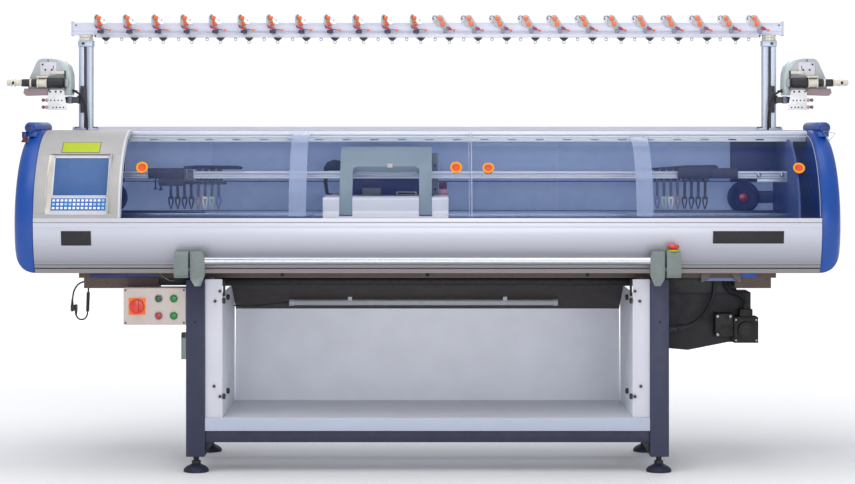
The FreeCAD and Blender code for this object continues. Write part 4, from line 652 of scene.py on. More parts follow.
# ---- console and front panel
BODY_TOP = 91.0
RECESS_TOP = 132.4
RECESS_LOW = 173.2
CONSOLE_EDGE = -1130.0
RECESS_LEFT = -1389.0
PANEL_TURN = math.radians(153.0)
PANEL_FACE = 324.0
PANEL_FRAME = Matrix(((1, 0, 0, 0), (0, math.sin(PANEL_TURN), math.cos(PANEL_TURN), BARREL_Y),
                      (0, -math.cos(PANEL_TURN), math.sin(PANEL_TURN), BARREL_Z), (0, 0, 0, 1)))


def console_skin():
    """Curved cover round the recess, light return edge beside the door, its screws and a bare yellow plate."""
    skin = Piece("console_skin", "console_grey")
    low, left = barrel_angle(BARREL_Z + 24) - 0.05, -BODY_HALF + 0.3
    skin.band(BARREL_R, 4, BODY_TOP, RECESS_TOP, (left, CONSOLE_EDGE), 30)
    skin.band(BARREL_R, 4, RECESS_LOW, low, (left, CONSOLE_EDGE), 4)
    skin.band(BARREL_R, 4, RECESS_TOP, RECESS_LOW, (left, -1403), 30)
    skin.band(BARREL_R, 4, RECESS_TOP, RECESS_LOW, (-1176, CONSOLE_EDGE), 30)
    skin.band(BARREL_R, 30, 95, low, (CONSOLE_EDGE - 4, CONSOLE_EDGE - 0.2), 40)
    skin.band(BARREL_R + 1.2, 4, BODY_TOP, low, (CONSOLE_EDGE - 9, CONSOLE_EDGE - 0.5), 40, "console_light")
    skin.done(0.8, replaces="console_housing")
    trim = Piece("console_plate", "console_grey")
    trim.band(BARREL_R + 0.6, 1, 119.6, 130.9, (-1365, -1221), 8, "label_edge")
    trim.band(BARREL_R + 1.0, 1, 120.2, 130.3, (-1362, -1224), 8, "label_yellow")
    for angle in (112, 142, 161.5, 170):
        place = (CONSOLE_EDGE - 0.5, *on_barrel(332, angle))
        trim.turned([(5, 0), (5, 2.5), (3, 4)], place, RIGHT, 16, "screw_black")
    trim.done(0.4)


def recess():
    """Flat panel let into the curved cover, with a scooped left side, screen and keypad."""
    pan = Piece("console_recess", "bezel_cream")
    scoop = []
    for i in range(25):
        share = i / 24
        bulge = 3 + 15 * math.sin(math.pi * min(1.0, share * 0.72 + 0.02)) ** 1.2
        y, z = on_barrel(BARREL_R + 0.2, RECESS_TOP + (RECESS_LOW - RECESS_TOP) * share)
        down = PANEL_FRAME.inverted() @ Vector((0, y, z))
        flat = PANEL_FRAME @ Vector((RECESS_LEFT, down.y, PANEL_FACE - 1))
        scoop.append([(-1406, y, z), (-1392 - bulge * 0.85, y, z), tuple(flat), (flat.x, flat.y + 3, flat.z - 2),
                      (-1406, flat.y + 3, flat.z - 2)])
    pan.shell(scoop)
    pan.place = PANEL_FRAME
    base = PANEL_FACE - 6
    pan.box((RECESS_LEFT - 1, -1176), (-121, 121), (base, PANEL_FACE), "panel_lilac")
    # Dark strip along the top wall of the recess: painted shadow under the cover's edge.
    pan.box((RECESS_LEFT - 14, -1174), (120, 123), (base, PANEL_FACE + 3), "label_edge")
    pan.box((-1177, -1172), (-121, 122), (base, PANEL_FACE + 20), "console_grey")
    pan.box((RECESS_LEFT - 16, -1174), (-124, -121), (base, PANEL_FACE + 3), "console_light")
    rim = (PANEL_FACE - 1, PANEL_FACE + 2.4)
    for u in ((-1387, -1383), (-1184, -1180)):
        pan.box(u, (-51, 111), rim, "console_light")
    for v in ((-51, -47), (107, 111)):
        pan.box((-1387, -1180), v, rim, "console_light")
    pan.done(0.6, replaces="screen_bezel")
    glass = Piece("screen_glass", "screen_blue")
    glass.place = PANEL_FRAME
    glass.box((-1383, -1184), (-47, 107), (PANEL_FACE - 1, PANEL_FACE + 0.8))
    glass.done(0.3, replaces="screen")
    keys = Piece("keypad_keys", "keypad_blue")
    keys.place = PANEL_FRAME
    keys.box((-1390, -1182), (-111, -55), (PANEL_FACE - 1, PANEL_FACE + 1.5), "console_light")
    keys.box((-1387, -1185), (-108, -58), (PANEL_FACE - 1, PANEL_FACE + 2.2))
    for row in range(3):
        for column in range(13):
            u, v = -1286 + (column - 6) * 15.2, -83 + (row - 1) * 15.5
            finish = "key_cyan" if (row == 1 and column in (0, 3, 4, 10, 11, 12)) or column == 12 else "key_white"
            keys.box((u - 5, u + 5), (v - 4.6, v + 4.6), (PANEL_FACE + 1, PANEL_FACE + 3.4), finish)
    keys.done(0.7, replaces="keypad")


def panel_trim():
    """Two bare black plates, the long grooves of the front panel and a strip along its bottom edge whose darker tone
    is painted shade.
    """
    trim = Piece("panel_trim", "panel_aluminium")
    for x, low in (((-1347, -1237), 844), ((1049, 1310), 851.5)):
        trim.band(BARREL_R + 1.4, 1.4, 183.9, barrel_angle(low), x, 8, "label_black")
    # The last band is the strip along the bottom edge; its darker tone is painted shade.
    for out, start, end, finish, steps in ((0.4, 207.6, 208.4, "seam_black", 2), (0.3, 178.6, 178.9, "groove_tan", 2),
                                           (0.4, 205.2, 205.6, "label_edge", 2), (0.5, 208.6, 211.3, "panel_low", 6)):
        trim.band(BARREL_R + out, 1, start, end, (-BODY_HALF + 0.5, BODY_HALF - 0.5), steps, finish)
    trim.done(0.3)


# ---- doors
def door(name, node, radius, x, grips, grip_angle, tilt, film_x):
    """Curved sheet, clear at the top, with a milky band, pale edges that are painted highlights, and round grips
    tilted from the barrel.
    """
    top, split, low = BODY_TOP, 119.4, 175.4
    sheet = Piece(name + "_sheet", "door_acrylic", node)
    sheet.band(radius, 4, top, split, x, 24, "door_clear")
    sheet.band(radius, 4, split, low, x, 44)
    sheet.done(0.6, replaces=node)
    fittings = Piece(name + "_grips", "grip_orange", node)
    fittings.band(radius - 4.4, 1.2, 95, 174.9, film_x, 48, "band_film")
    # Pale strips along both side edges: painted highlights.
    for edge in (x[0] + 1.5, x[1] - 1.5):
        fittings.band(radius + 0.4, 4.8, top, low, (edge - 1.3, edge + 1.3), 48, "edge_film")
    rim = [(14, -11), (19, -11), (19, 0.8), (22, 0.8), (22.5, 2), (21, 3.4), (18, 3.8), (15.5, 3), (14, 0)]
    turn = math.radians(grip_angle + tilt)
    out = Vector((0, math.cos(turn), math.sin(turn)))
    for grip in grips:
        place = Vector((grip, *on_barrel(radius + tilt / 4, grip_angle)))
        fittings.turned(rim, place, out, 40, "grip_rim", loop=True)
        fittings.turned([(13.8, -8), (13.8, -1.5), (12, -2.4), (4, -3)], place, out, 40)
    fittings.done(0.4, replaces=node + "_fittings")


def doors():
    """The right door runs inside the left one, so its grips stand out less."""
    door("left_door", "door_left", DOOR_R, (-1129.0, 165.0), (-1057, 106), 143.3, 16, (-511, -447))
    door("right_door", "door_right", RIGHT_DOOR_R, (153.0, 1449.0), (226, 1379), 141.4, 6, (771, 833))


# ---- top beam, tension units, eyelets
def unit_places():
    """Frame of each tension unit; the left half is turned to face inwards."""
    for i in range(UNITS):
        turn = math.radians(UNIT_TURN if i < UNITS / 2 else 0.0)
        y = POST_Y - 20.3 - 36 * math.sin(turn) - 3 * math.cos(turn)
        spot = Matrix.Translation(((i - (UNITS - 1) / 2) * UNIT_PITCH, y, BEAM_Z + BEAM_TALL))
        yield turn > 0, spot @ Matrix.Rotation(turn, 4, "Z")


def tension_units():
    """Slanted plates with discs, hooks, dampers and beads."""
    plates = Piece("tension_plates", "unit_grey")
    discs = Piece("tension_discs", "unit_grey")
    outline = [(-24, -10), (-24, 24), (-10, 32), (4, 28), (36, -26), (26, -34)]
    to_front = (-math.sin(math.radians(UNIT_TURN)), -math.cos(math.radians(UNIT_TURN)), 0)
    for turned, spot in unit_places():
        plates.place = discs.place = spot
        plates.prism("y", outline, (-3, 3))
        plates.box((8, 20), (-13, -3), (-46, -26), "unit_blue")
        if turned:
            plates.place = discs.place = Matrix.Translation(spot.translation)
            plates.prism("y", [(-11, -14), (18, -22), (21, -31), (-6, -24)], (-22, -10), "magenta")
            plates.box((0, 24), (-20, -8), (-43, -31), "bracket_black")
            discs.pipe([(18, -14, -28), (47, -12, -31)], 1.2, "seam_black", 6)
            discs.turned([(5, 0), (5, 5), (2, 7)], (48, -9, -31), (0.2, -1, 0), 14, "knob_orange")
            plates.place = discs.place = spot
            root, middle = Vector((4, -14, 8)), Vector((4, -27, 8))
        else:
            plates.prism("y", [(20, -15), (36, -20), (38, -31), (23, -28)], (-15, -3.2), "magenta")
            discs.pipe([(34, -9, -26), (48, -9, -31)], 1.2, "seam_black", 6)
            discs.turned([(4.5, 0), (4.5, 5), (2, 7)], (47, -9, -31), (0.4, -1, 0), 14, "knob_orange")
            root, middle = Vector((-22, 1, 15)), Vector((-30, 10, 15))
        discs.pipe([(-18, -3, 20), (-24, -12, 27), (-33, -15, 24), (-37, -13, 16), (-31, -12, 10)], 1.3,
                   "seam_black", 6)
        discs.turned([(15, -2.4), (15.5, -1.2), (12, -0.6), (12, 0.6), (15.5, 1.2), (15, 2.4)], middle, to_front, 28,
                     "disc_white")
        discs.pipe([root, middle], 1.8, "steel_wire")
        discs.disc(3.5, 3, middle, to_front, 12, "steel_wire")
    plates.done(1.2, replaces="tension_units")
    discs.done()
    knobs = Piece("tension_knob_caps", "knob_orange")
    profile = [(9.5, 0), (9.5, 2.5), (8.2, 3.5), (8.4, 9.5), (7.6, 12), (5.2, 13), (3, 12.4)]
    for _, knobs.place in unit_places():
        for x, z in ((-6, 16), (4, -6)):
            knobs.turned(profile, (x, -3, z), FRONT, 20)
    knobs.done(replaces="tension_knobs")


def yarn_eyelets():
    """Black cups below the beam, each with a ceramic ring."""
    cups = Piece("eyelet_cups", "eyelet_black")
    for i in range(UNITS):
        unit_x = (i - (UNITS - 1) / 2) * UNIT_PITCH
        for x, y, z in ((unit_x + 30, 116, BEAM_Z - 12), (unit_x - 26, 154, BEAM_Z)):
            if abs(x) < POST_X - 60:
                cups.turned([(4, -12), (7, -11), (13, -6), (17, -1.5), (17, 0)], (x, y, z), UP, 20)
                cups.hoop((x, y, z - 17.5), BACK, 5.4, 1.3, 18, 6, "ring_grey")
    cups.done(replaces="yarn_eyelets")


def post_details():
    """Ribbed collar, slots, foot bolts and screws of each post."""
    trim = Piece("post_trim", "rail_aluminium")
    collar = [(26.5, 0), (27.5, 1.5), (27.5, 7), (25.5, 8.5), (25.5, 12), (27.5, 13.5), (27.5, 19), (26, 20.5)]
    slot = (1277, BEAM_Z - 48)
    for trim.place in SIDES:
        trim.turned(collar, (POST_X, POST_Y, BEAM_Z - 21.5), UP, 32, "ceramic_cream")
        trim.box((POST_X - 4.7, POST_X + 4.7), (POST_Y - 24, POST_Y - 14), slot, "post_slot")
        trim.box((POST_X - 24, POST_X - 14), (POST_Y - 4.7, POST_Y + 4.7), slot, "post_slot")
        trim.turned([(6, 0), (6, 5), (4.5, 6)], (POST_X + 8, POST_Y - 28.5, BEAM_Z - 34), FRONT, 6, "screw_black")
        for x, y in ((-36, -36), (36, -36), (-36, 36), (36, 36)):
            trim.disc(5, 4.5, (POST_X + x, POST_Y + y, 1276), UP, 6, "screw_black")
        trim.disc(3.2, 2, (POST_X + 37, POST_Y - 24.2, BEAM_Z + 38), FRONT, 12, "screw_black")
        trim.turned([(9, 0), (10, 3), (7, 9)], (POST_X - 42, POST_Y - 6, BEAM_Z), DOWN, 16, "eyelet_black")
    trim.done(0.4)


# ---- side feeders
def feeder_housings():
    """Rounded motor housing, D-shaped face plate, terminal plate, lever and lower block."""
    feed = Piece("feeder_bodies", "feeder_grey")
    shell = [(1390, 1404), (1387, 1436), (1389, 1488), (1398, 1518), (1418, 1536), (1448, 1545), (1498, 1545),
             (1514, 1536), (1542, 1484), (1553, 1440), (1553, 1404)]
    plate = [(1402, 1420), (1403, 1468), (1413, 1500), (1426, 1526), (1442, 1540), (1460, 1546), (1500, 1546),
             (1512, 1541), (1520, 1530), (1545, 1474), (1549, 1440), (1548, 1420)]
    for feed.place in SIDES:
        feed.prism("y", shell, (42, 150), "feeder_pale")
        feed.prism("y", plate, (36, 42))
        feed.box((1441, 1504), (32, 36), (1479, 1531), "panel_lilac")
        for x, z in ((1495, 1523), (1484, 1502), (1459, 1502)):
            feed.turned([(3.6, 0), (3.6, 3), (2.4, 3.6)], (x, 32, z), FRONT, 16, "seam_black")
        feed.box((1452, 1455), (31, 33), (1504, 1518), "seam_black")
        feed.disc(3, 2, (1474, 36, 1539), FRONT, 12, "screw_black")
        feed.box((1408, 1462), (20, 32), (1485, 1497), "ceramic_cream")
        feed.box((1404, 1409), (18, 34), (1474, 1499), "bracket_black")
        feed.box((1468, 1513), (-10, 37), (1471, 1477), "ceramic_cream")
        feed.prism("y", [(1470, 1404), (1470, 1429), (1562, 1429), (1566, 1412), (1556, 1401)], (10, 80), "taupe")
        feed.box((1392, 1404), (-4, 42), (1437, 1465))
        feed.disc(26, 3, (1404, ROLLER_Y, ROLLER_Z), LEFT, 32, "bracket_black")
    feed.done(3.0, 3, replaces="feeder_housings")


def feeder_rollers():
    """Dark roller between cream spools, with a stepped tip."""
    start_x = 1393
    tip = TIP_END - start_x
    steps = [
        ([(4.8, 0), (4.8, 11), (13, 11.5), (17, 14), (19.3, 20), (19.3, 80)], "roller_rubber", 36),
        ([(20, 80), (20, 83), (16.5, 86), (16.5, 111), (20, 114), (20, 118), (12, 119)], "ceramic_cream", 36),
        ([(12, 119), (14.5, 121), (14.5, 174), (12, 177)], "roller_rubber", 32),
        ([(15, 140), (16, 141), (16, 146), (15, 147)], "ceramic_cream", 32),
        ([(15, 177), (15, 180), (12, 183), (12, 200), (15, 203), (15, 206)], "ceramic_cream", 32),
        ([(8, 206), (8, 209), (12, 212), (13, 215), (13, 219), (11, 222), (11, 224), (13, 227), (12, tip - 4),
          (8, tip - 1), (3, tip)], "ceramic_cream", 24)]
    for side, name in zip(SIDES, ("right", "left")):
        roller = Piece("feed_roller_" + name, "roller_rubber", "feeder_roller_" + name)
        roller.place = side
        for profile, finish, sides in steps:
            roller.turned(profile, (start_x, ROLLER_Y, ROLLER_Z), RIGHT, sides, finish)
        roller.turned([(5, 198), (5, 207.5)], (1400, ROLLER_Y - 11, ROLLER_Z), RIGHT, 12, "seam_black")
        roller.done(0.4, replaces="feeder_roller_" + name)


def feeder_brackets():
    """Clamp on the post, arm under the housing and the drilled guide plate with its eyes."""
    arms = Piece("feeder_arms", "bracket_black")
    front = POST_Y - 25.5
    for arms.place in SIDES:
        arms.prism("y", [(1341, 1336), (1341, 1437), (1347, 1441), (1362, 1441), (1362, 1404), (1374, 1404),
                         (1374, 1372), (1362, 1372), (1362, 1336)], (front - 12, front))
        arms.box((1364, 1466), (front - 40, front - 0.5), (1374, 1398))
        arms.box((1392, 1408), (front - 42, front - 4), (1372, 1400), "unit_blue")
        arms.box((1412, 1458), (0, front - 40), (1376, 1394))
        for z in (1426, 1348):
            arms.disc(4, 3, (1352, front - 12, z), FRONT, 6, "screw_black")
        arms.prism("y", [(1394, 1346), (1394, 1352), (1402, 1392), (1406, 1418), (1410, 1424), (1462, 1424),
                         (1468, 1412), (1468, 1346)], (-3, 0), "ceramic_white")
        for x in (1418, 1438, 1460):
            arms.disc(3.6, 3, (x, -3, 1417), FRONT, 12, "seam_black")
        for x, z in [(1415 + 14 * i, 1383) for i in range(4)] + [(1408 + 13.5 * i, 1356) for i in range(4)]:
            arms.disc(3, 0.8, (x, -3, z), FRONT, 12)
        for z in (1384, 1357):
            arms.turned([(6, 0), (8, 6), (4, 12)], (1468, -1.5, z), RIGHT, 16, "pink_ceramic")
            arms.turned([(4, 12), (6.5, 16), (6.5, 22), (3, 25)], (1468, -1.5, z), RIGHT, 16, "olive")
    arms.done(1.2, replaces="feeder_brackets")


# ---- yarn carriers and their rails
CARRIER_FINISH = ["carrier_dark"] * 4 + ["taupe", "ceramic_white", "pale_green", "slate_blue"]


def carrier(piece, x, track):
    """Slider on a rail face, slim bent arm and a two-pronged tip over the bed gap."""
    side = -1 if track < 4 else 1
    low, top, rail = 1082.7, 1111.3, 37.0
    slider = [(rail + 0.3, top + 6), (rail + 9, top + 6), (rail + 9, low - 8), (12, low - 8), (5, low),
              (rail + 0.3, low)]
    arm = [(5, low), (12, low - 8), (5, 1008), (-1, 1008)]
    for outline, half in ((slider, 10.8), (arm, 5)):
        piece.prism("x", [(BARREL_Y + side * off, z) for off, z in outline], (x - half, x + half))
    finish = CARRIER_FINISH[track]
    piece.box((x - 10, x + 10), (BARREL_Y - 2.2, BARREL_Y + 2.2), (1004, 1014), finish)
    for way in (1, -1):
        prong = [(x + way * out, z) for out, z in ((11.5, 1006), (5, 1006), (4.5, 992), (0.2, 970), (0.2, 966),
                                                   (2.6, 966), (10, 990))]
        piece.prism("y", prong, (BARREL_Y - 1.6, BARREL_Y + 1.6), finish)
    piece.disc(3, 5, (x, BARREL_Y + side * 46, 1100), (0, side, 0), 10, "steel_wire")


def yarn_carriers():
    parked = Piece("parked_carriers", "carrier_dark")
    for i in range(7):
        carrier(parked, -981 + 26 * i, i)
        carrier(parked, 1061 - 26 * i, i)
    parked.done(0.8, 1, replaces="yarn_carriers")
    for name, x in (("yarn_carrier_left", -799), ("yarn_carrier_right", 879)):
        lead = Piece("lead_" + name, "carrier_dark", name)
        carrier(lead, x, 7)
        lead.done(0.8, 1, replaces=name)


def rail_blocks():
    """Dark stop blocks over the rail ends with their long leaf springs, hooks and bolts."""
    blocks = Piece("rail_blocks", "carrier_dark")
    face, painted_shade_tone, spring = (-160, -151), (-151, -141.5), (-158, -152)
    blocks.box((-1062, -926), face, (1084, 1124))
    blocks.box((-1062, -995), painted_shade_tone, (1084, 1124))
    blocks.box((-1022, -926), face, (1056, 1084))
    blocks.prism("y", [(-926, 1119), (-926, 1131), (-880, 1134), (-720, 1133), (-702, 1127), (-706, 1119)], spring)
    blocks.box((-926, -764), (-157, -152), (1062, 1074))
    blocks.box((1085, 1180), face, (1084, 1124))
    blocks.box((952, 1085), face, (1084, 1126))
    blocks.box((1080, 1180), painted_shade_tone, (1084, 1124))
    blocks.prism("y", [(812, 1117), (812, 1121), (980, 1134), (1092, 1136), (1106, 1130), (1100, 1120)], spring)
    for x, low in ((-1034, 1048), (-1014, 1045)):
        blocks.pipe([(x, -156, 1084), (x, -156, low)], 3.2)
        blocks.turned([(6, 0), (7, 3), (6, 8)], (x, -156, low - 6), UP, 12)
    for x in (1190, 1206, 1222):
        blocks.pipe([(x, -142, 1084), (x, -146, 1064), (x + 5, -148, 1056), (x + 9, -144, 1062)], 2.6)
    for x in (1262, 1350):
        blocks.turned([(9, 0), (9, 3), (6, 4), (6, 9)], (x, -141.3, 1097), FRONT, 20, "steel_wire")
    # Two pale strips along the front rail's face: painted highlights.
    for z in ((1104.5, 1110), (1086, 1089)):
        blocks.box((-1368, 1368), (-141.22, -140.5), z, "edge_white")
    blocks.box((1255, 1369), painted_shade_tone, (1070, 1083), "rail_aluminium")
    blocks.done(1.2)


# ---- carriage and rear wall
def carriage_details():
    """Steps of the covers, and the hose arm, plates and plugs seen under the arch. The lower faces and the top edge
    of the covers have a brighter copy of their white: painted light.
    """
    details = Piece("carriage_details", "cover_white", "carriage")
    cover_top = 1019.3
    # Brighter copy of the cover white on the lower faces: painted light.
    for x in ((-387.5, -327.5), (-278, -32), (17.5, 77.5)):
        details.box(x, (-389.5, -384.8), (938, 968), "cover_bright")
    details.box((-387.5, 77.5), (-392, -388.4), (938, 949.5), "cover_bright")
    for x in ((-326, -280), (-30, 16)):
        details.box(x, (-391.6, -388.3), (950, 955.5), "dusk_blue")
    details.box((-318, 8), (-40, -34), (cover_top, 1166), "cam_steel")
    hose = [(-334, 1150), (-362, 1154), (-388, 1144), (-400, 1122), (-401, 1066), (-394, 1022), (-380, 1022),
            (-386, 1066), (-384, 1112), (-334, 1112)]
    details.prism("y", hose, (-30, -20), "seam_black")
    details.box((-388, -370), (-50, -10), (cover_top, 1024), "seam_black")
    details.box((17.5, 40), (-44, -36), (cover_top, 1180), "casting_grey")
    for z in (1132, 1040):
        details.disc(5, 4, (29, -44, z), FRONT, 12, "screw_black")
    for x, y, z, finish in (((44, 74), (-60, -26), (cover_top, 1042), "pink_ceramic"),
                            ((44, 74), (-60, -26), (1042.5, 1068), "rust_red"),
                            ((-151, -131), (-304, -289), (1128, 1143), "ceramic_cream"),
                            ((-250, -180), (-70, -44), (cover_top, 1046), "casting_grey"),
                            ((-262, -252), (-66, -46), (cover_top, 1034), "seam_black"),
                            ((-120, -42), (-76, -44), (cover_top, 1032), "ceramic_white"),
                            ((-116, -46), (-77, -75), (1021, 1029), "seam_black"),
                            ((-278, -32), (-380, -376), (1019.2, 1022), "cover_bright")):
        details.box(x, y, z, finish)
    for x in (-330, 20):
        details.disc(5, 4, (x, -200, 1019), UP, 12, "screw_black")
    details.done(1.2)


def rear_wall():
    """Pale lining in sections inside the rear cover, darker at the ends, and the pulleys' red hubs. The lining glows
    faintly though it is no lamp: painted light that brightens the inside behind the doors.
    """
    wall = Piece("rear_wall_details", "white_paint")
    for i in range(7):
        x = -1201 + 343 * i
        wall.box((x + 1.2, x + 341.8), (233.4, 235.6), (945, 1262), "lining_blue")
    for wall.place in SIDES:
        wall.box((1202, 1376), (228, 235.2), (1062, 1262), "dusk_blue")
        wall.box((1202, 1376), (226, 235.2), (945, 1060), "lining_blue")
    wall.done(0.4)
    for side, name in ((1, "drive_pulley"), (-1, "idler_pulley")):
        hub = Piece(name + "_hub", SLOT_OF[name], name)
        hub.turned([(18, 0), (18, 3), (15, 4)], (side * 1248, 183.6, 1003), FRONT, 28, "stop_red")
        hub.done(0.4)


# ---- stop button and switch box
def stop_button():
    x, y = 902, -466
    collar = Piece("stop_collar", "casting_grey")
    collar.turned([(21, 0), (21, 4), (19, 5.4)], (x, y, 824.2), UP, 32, "label_yellow")
    collar.done(0.3)
    head = Piece("stop_head", "stop_red", "stop_button")
    head.turned([(8, 818), (8, 834), (17, 834.5), (22, 838), (22.5, 842), (20, 846.5), (14, 849), (5, 850)],
                (x, y, 0), UP, 36)
    head.done(replaces="stop_button")


def switch_box():
    """Case with the main switch and four push buttons in bright rings."""
    front = -385.0
    buttons = [(-995, 581, "button_red"), (-939, 581, "button_green"), (-995, 645, "green_dark"),
               (-939, 645, "button_green")]
    case = Piece("switch_case", "box_grey")
    case.box((-1126, -894), (front, front + 85), (547, 684))
    case.box((-1124, -896), (front - 2, front), (549, 682))
    for x in (-1118, -902):
        for z in (555, 676):
            case.turned([(4.2, 0), (4.2, 1.6), (3, 2.2)], (x, front - 2, z), FRONT, 16, "label_edge")
    case.box((-1106, -1044), (front - 4, front - 1.5), (585, 647), "plate_orange")
    for x, z, _ in buttons:
        ring = "steel_wire" if x < -960 else "green_ring"
        case.turned([(15, 0), (15, 3), (13.5, 4.6), (11.6, 4.6), (11.6, 0)], (x, front - 2, z), FRONT, 32, ring)
    case.done(1.5, 3, replaces="switch_box")
    knob = Piece("isolator_knob", "switch_red", "main_switch_handle")
    base = front - 4.3
    knob.turned([(27.5, 0), (27.5, 5), (25, 9), (20, 10)], (-1075, base, 616), FRONT, 40)
    knob.box((-1082, -1068), (base - 24, base - 9), (593, 640))
    knob.box((-1076.2, -1073.8), (base - 24.6, base - 23.5), (622, 638), "label_edge")
    knob.done(2.0, 3, replaces="main_switch_handle")
    for number, (x, z, finish) in enumerate(buttons, start=1):
        name = "push_button_" + str(number)
        button = Piece(name + "_cap", SLOT_OF[name], name)
        button.turned([(10.4, -6), (10.4, 6.5), (9.6, 8.2), (6, 8.8)], (x, front - 0.5, z), FRONT, 32, finish)
        button.done(0.3, replaces=name)


# ---- stand, motor and parts under the body
def levelling_feet():
    """Domed soles with a hexagon and a threaded stem."""
    feet = Piece("domed_feet", "foot_iron")
    sole = [(45.5, 0), (47, 2), (47, 7), (44, 13), (36, 20), (26, 25), (19, 28), (18, 30)]
    for x in (-859, 859):
        for y in (-355, 185):
            feet.turned(sole, (x, y, 0), UP, 40, "foot_blue")
            feet.disc(17, 12, (x, y, 30), UP, 6)
            feet.disc(10, 17, (x, y, 42), UP, 20)
            for z in (45, 48, 51, 54, 57):
                feet.hoop((x, y, z), UP, 10, 0.9, 20, 5)
    feet.done(0.6, replaces="levelling_feet")


def stand_details():
    """Holes and bolts of the stand, black triangles painted as the shade on the inner face of each lower side rail,
    the latch by the switch box and the screws under the body.
    """
    extra = Piece("stand_details", "frame_paint")
    for extra.place in SIDES:
        extra.disc(5.5, 0.6, (860, -390, 558), FRONT, 20, "seam_black")
        # Black triangle: painted shadow, the inner face of the lower side rail seen in shade.
        extra.prism("y", [(824, 111), (824, 66), (792, 111)], (-372, -364), "seam_black")
        extra.box((753, 759), (-366, -330), (652, 712), "seam_black")
        for y, z in ((-378, 636), (-200, 636), (-378, 282), (-200, 282)):
            extra.turned([(9, 0), (11, 4), (11, 9), (7, 12)], (760, y, z), LEFT, 14, "screw_black")
    extra.place = SIDES[0]
    extra.prism("z", [(-912, -384), (-912, -360), (-894, -352), (-894, -388)], (420, 512), "casting_grey")
    extra.box((-911, -895), (-388, -356), (500, 518), "seam_black")
    for x in (-542, 0, 598):
        extra.turned([(7, 0), (7, 4), (5, 5)], (x, -304, 727), FRONT, 12, "screw_black")
    extra.done(1.5)


def motor_details():
    """Octagonal end cover, bolts and cable gland of the motor."""
    motor = Piece("motor_details", "motor_black")
    x, z, front = 1192, 520, -295
    octagon = [(x + 47.94 * math.cos(math.radians(a)), z + 47.94 * math.sin(math.radians(a)))
               for a in (22, 68, 112, 158, 202, 248, 292, 338)]
    motor.prism("y", octagon, (front - 4, front))
    motor.turned([(34, 0), (34, 24), (32, 27), (26, 28), (26, 30), (10, 31)], (x, front - 4, z), FRONT, 40)
    for dx, dz in ((-38, -38), (38, -38), (-38, 38), (38, 38)):
        motor.disc(4, 3.5, (x + dx, front - 2, z + dz), FRONT, 12, "steel_wire")
    for dx, dz in ((-104, 50), (-104, -18), (-56, 50)):
        motor.turned([(7, 0), (7, 5), (4, 7)], (x + dx, -275, z + dz), FRONT, 12, "steel_wire")
    motor.turned([(16, 0), (16, 6), (13, 9), (13, 24)], (x + 4, -243, z + 48), UP, 24)
    motor.done(1.2)


def under_body():
    """Dark boxes, brackets and blue covers between the stand and the body."""
    under = Piece("under_body_parts", "beam_iron")
    under.box((-1001, -898), (-300, -140), (688, 738), "seam_black")
    under.box((897, 1165), (-228, -207), (655, 738), "seam_black")
    under.box((1150, 1222), (-296, -240), (700, 712), "cap_blue")
    under.prism("y", [(1022, 736), (1060, 736), (1050, 712), (1030, 700), (1022, 700)], (-312, -306), "rail_brown")
    under.prism("y", [(1172, 736), (1134, 736), (1146, 712), (1160, 700), (1172, 700)], (-312, -306), "rail_brown")
    under.prism("y", [(1036, 716), (1146, 716), (1162, 704), (1020, 704)], (-300, -262), "slate_blue")
    under.box((-1262, -1010), (-305.5, -300), (716.5, 738), "cap_dark")
    under.box((1166, 1230), (-305.5, -300), (716.5, 738), "cap_blue")
    under.pipe([(-1000, -306, 736), (-985, -308, 718), (-962, -306, 706), (-946, -304, 704)], 2.2, "steel_wire")
    under.done(0.8)


# ---- camera, floor and light, in metres
def camera():
    data = bpy.data.cameras.new("camera")
    data.sensor_width = 36.0
    data.lens = 96.73
    data.shift_y = -0.1333
    data.clip_end = 60.0
    obj = placed("camera", data)
    obj.location = (0.0, -8.89, 1.276)
    obj.rotation_euler = (math.radians(90), 0, 0)
    bpy.context.scene.camera = obj


def area_light(name, place, target, size, power):
    data = bpy.data.lights.new(name, "AREA")
    data.shape = "RECTANGLE"
    data.size, data.size_y = size
    data.energy = power
    obj = placed(name, data)
    obj.location = place
    obj.rotation_euler = (Vector(target) - Vector(place)).to_track_quat("-Z", "Y").to_euler()


def pale_floor():
    """Pale seamless paper that brightens away from the machine."""
    g = Graph("pale_floor")
    reach = g.nodes.new("ShaderNodeVectorMath")
    reach.operation = "LENGTH"
    g.feed(reach, Vector=g.place())
    return g.done(Base_Color=g.ramp(g.noise(0.6, 2.0), rgb(248, 248, 249), rgb(252, 252, 253)),
                  Roughness=g.remap(g.noise(30.0, 2.0), 0.75, 0.85), Emission_Color=(1.0, 1.0, 1.0, 1.0),
                  Emission_Strength=g.remap(reach.outputs["Value"], 0.0, 0.6, (1.6, 7.0)))


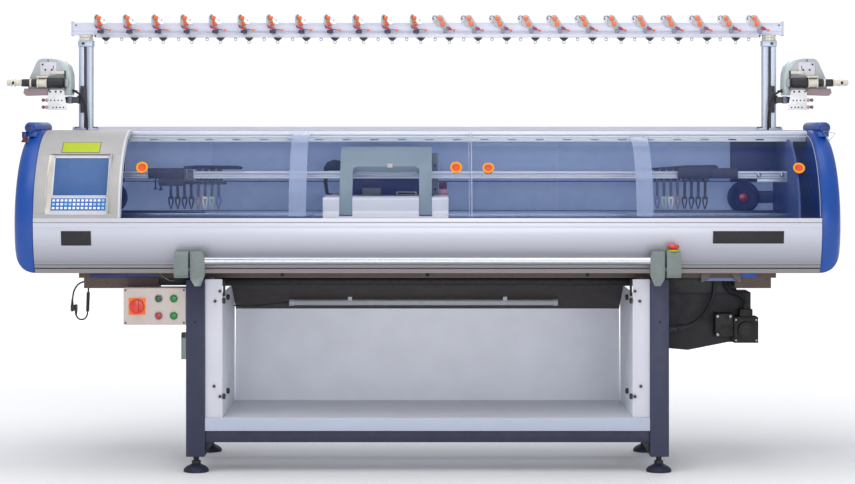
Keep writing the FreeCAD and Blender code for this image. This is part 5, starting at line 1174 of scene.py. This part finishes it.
def white_world():
    """Soft even light all round, seen by the camera as plain white."""
    g = Graph("studio", bpy.data.worlds)
    strength = g.remap(g.node("LightPath", "Is Camera Ray"), 0.5, 1.1, (0.0, 1.0))
    g.feed(g.nodes["Background"], Color=(0.93, 0.95, 1.0, 1.0), Strength=strength)
    bpy.context.scene.world = g.owner


def studio():
    bm = bmesh.new()
    bmesh.ops.create_circle(bm, cap_ends=True, segments=96, radius=60.0)
    mesh = bpy.data.meshes.new("floor")
    bm.to_mesh(mesh)
    bm.free()
    mesh.materials.append(pale_floor())
    placed("floor", mesh)
    white_world()
    area_light("key", (-2.0, -5.0, 7.0), (0, -0.2, 0.9), (6, 3), 150)
    area_light("front", (0.8, -8.5, 1.7), (0, 0, 0.9), (7, 2), 150)
    area_light("top", (0, -0.5, 5.0), (0, 0, 1), (6, 3), 100)
    area_light("back", (1.0, 6.5, 4.5), (0, 0, 0.9), (6, 2), 110)
    bpy.context.scene.view_settings.view_transform = "Standard"


for build in (held_cables, conduit_ribs, hanging_lead, end_caps, side_tensioners, console_skin, recess, panel_trim,
              doors, tension_units, yarn_eyelets, post_details, feeder_housings, feeder_rollers, feeder_brackets,
              yarn_carriers, rail_blocks, carriage_details, rear_wall, stop_button, switch_box, levelling_feet,
              stand_details):
    build()

# Second colours, on faces chosen by their place in metres or by their direction.
CHUTE_BEND, LEAF_START, FORWARD = 0.5615, 0.805, -0.7
# The chute's upper sloping faces take a dark finish: painted shade, as they face down in the shadow of the body.
two_tone("chute_panel", "chute_dark", lambda face: face.center.z > CHUTE_BEND)
two_tone("start_bar", "casting_grey", lambda face: abs(face.center.x) > LEAF_START, 3.0)
two_tone("bin_floor", "lip_grey", lambda face: face.normal.y < FORWARD)
two_tone("bin_sides", "flange_white", lambda face: face.normal.y < FORWARD)
motor_details()
under_body()

# Every other node in its own shape, bevelled.
BEVELS = {"carriage_arch": 4.0, "bar_brackets": 3.0, "base_frame": 3.0, "panel_screws": 0.5, "slotted_strip": 0.5,
          "rear_cover": 0.3}
SPECIAL = {"top_beam": "beam_lilac", "side_frames": "dusk_blue", "cone_table": "flange_white"}
for node in frame["nodes"]:
    if node not in replaced:
        dressed(node, BEVELS.get(node, 1.2), SPECIAL.get(node))

camera()
studio()
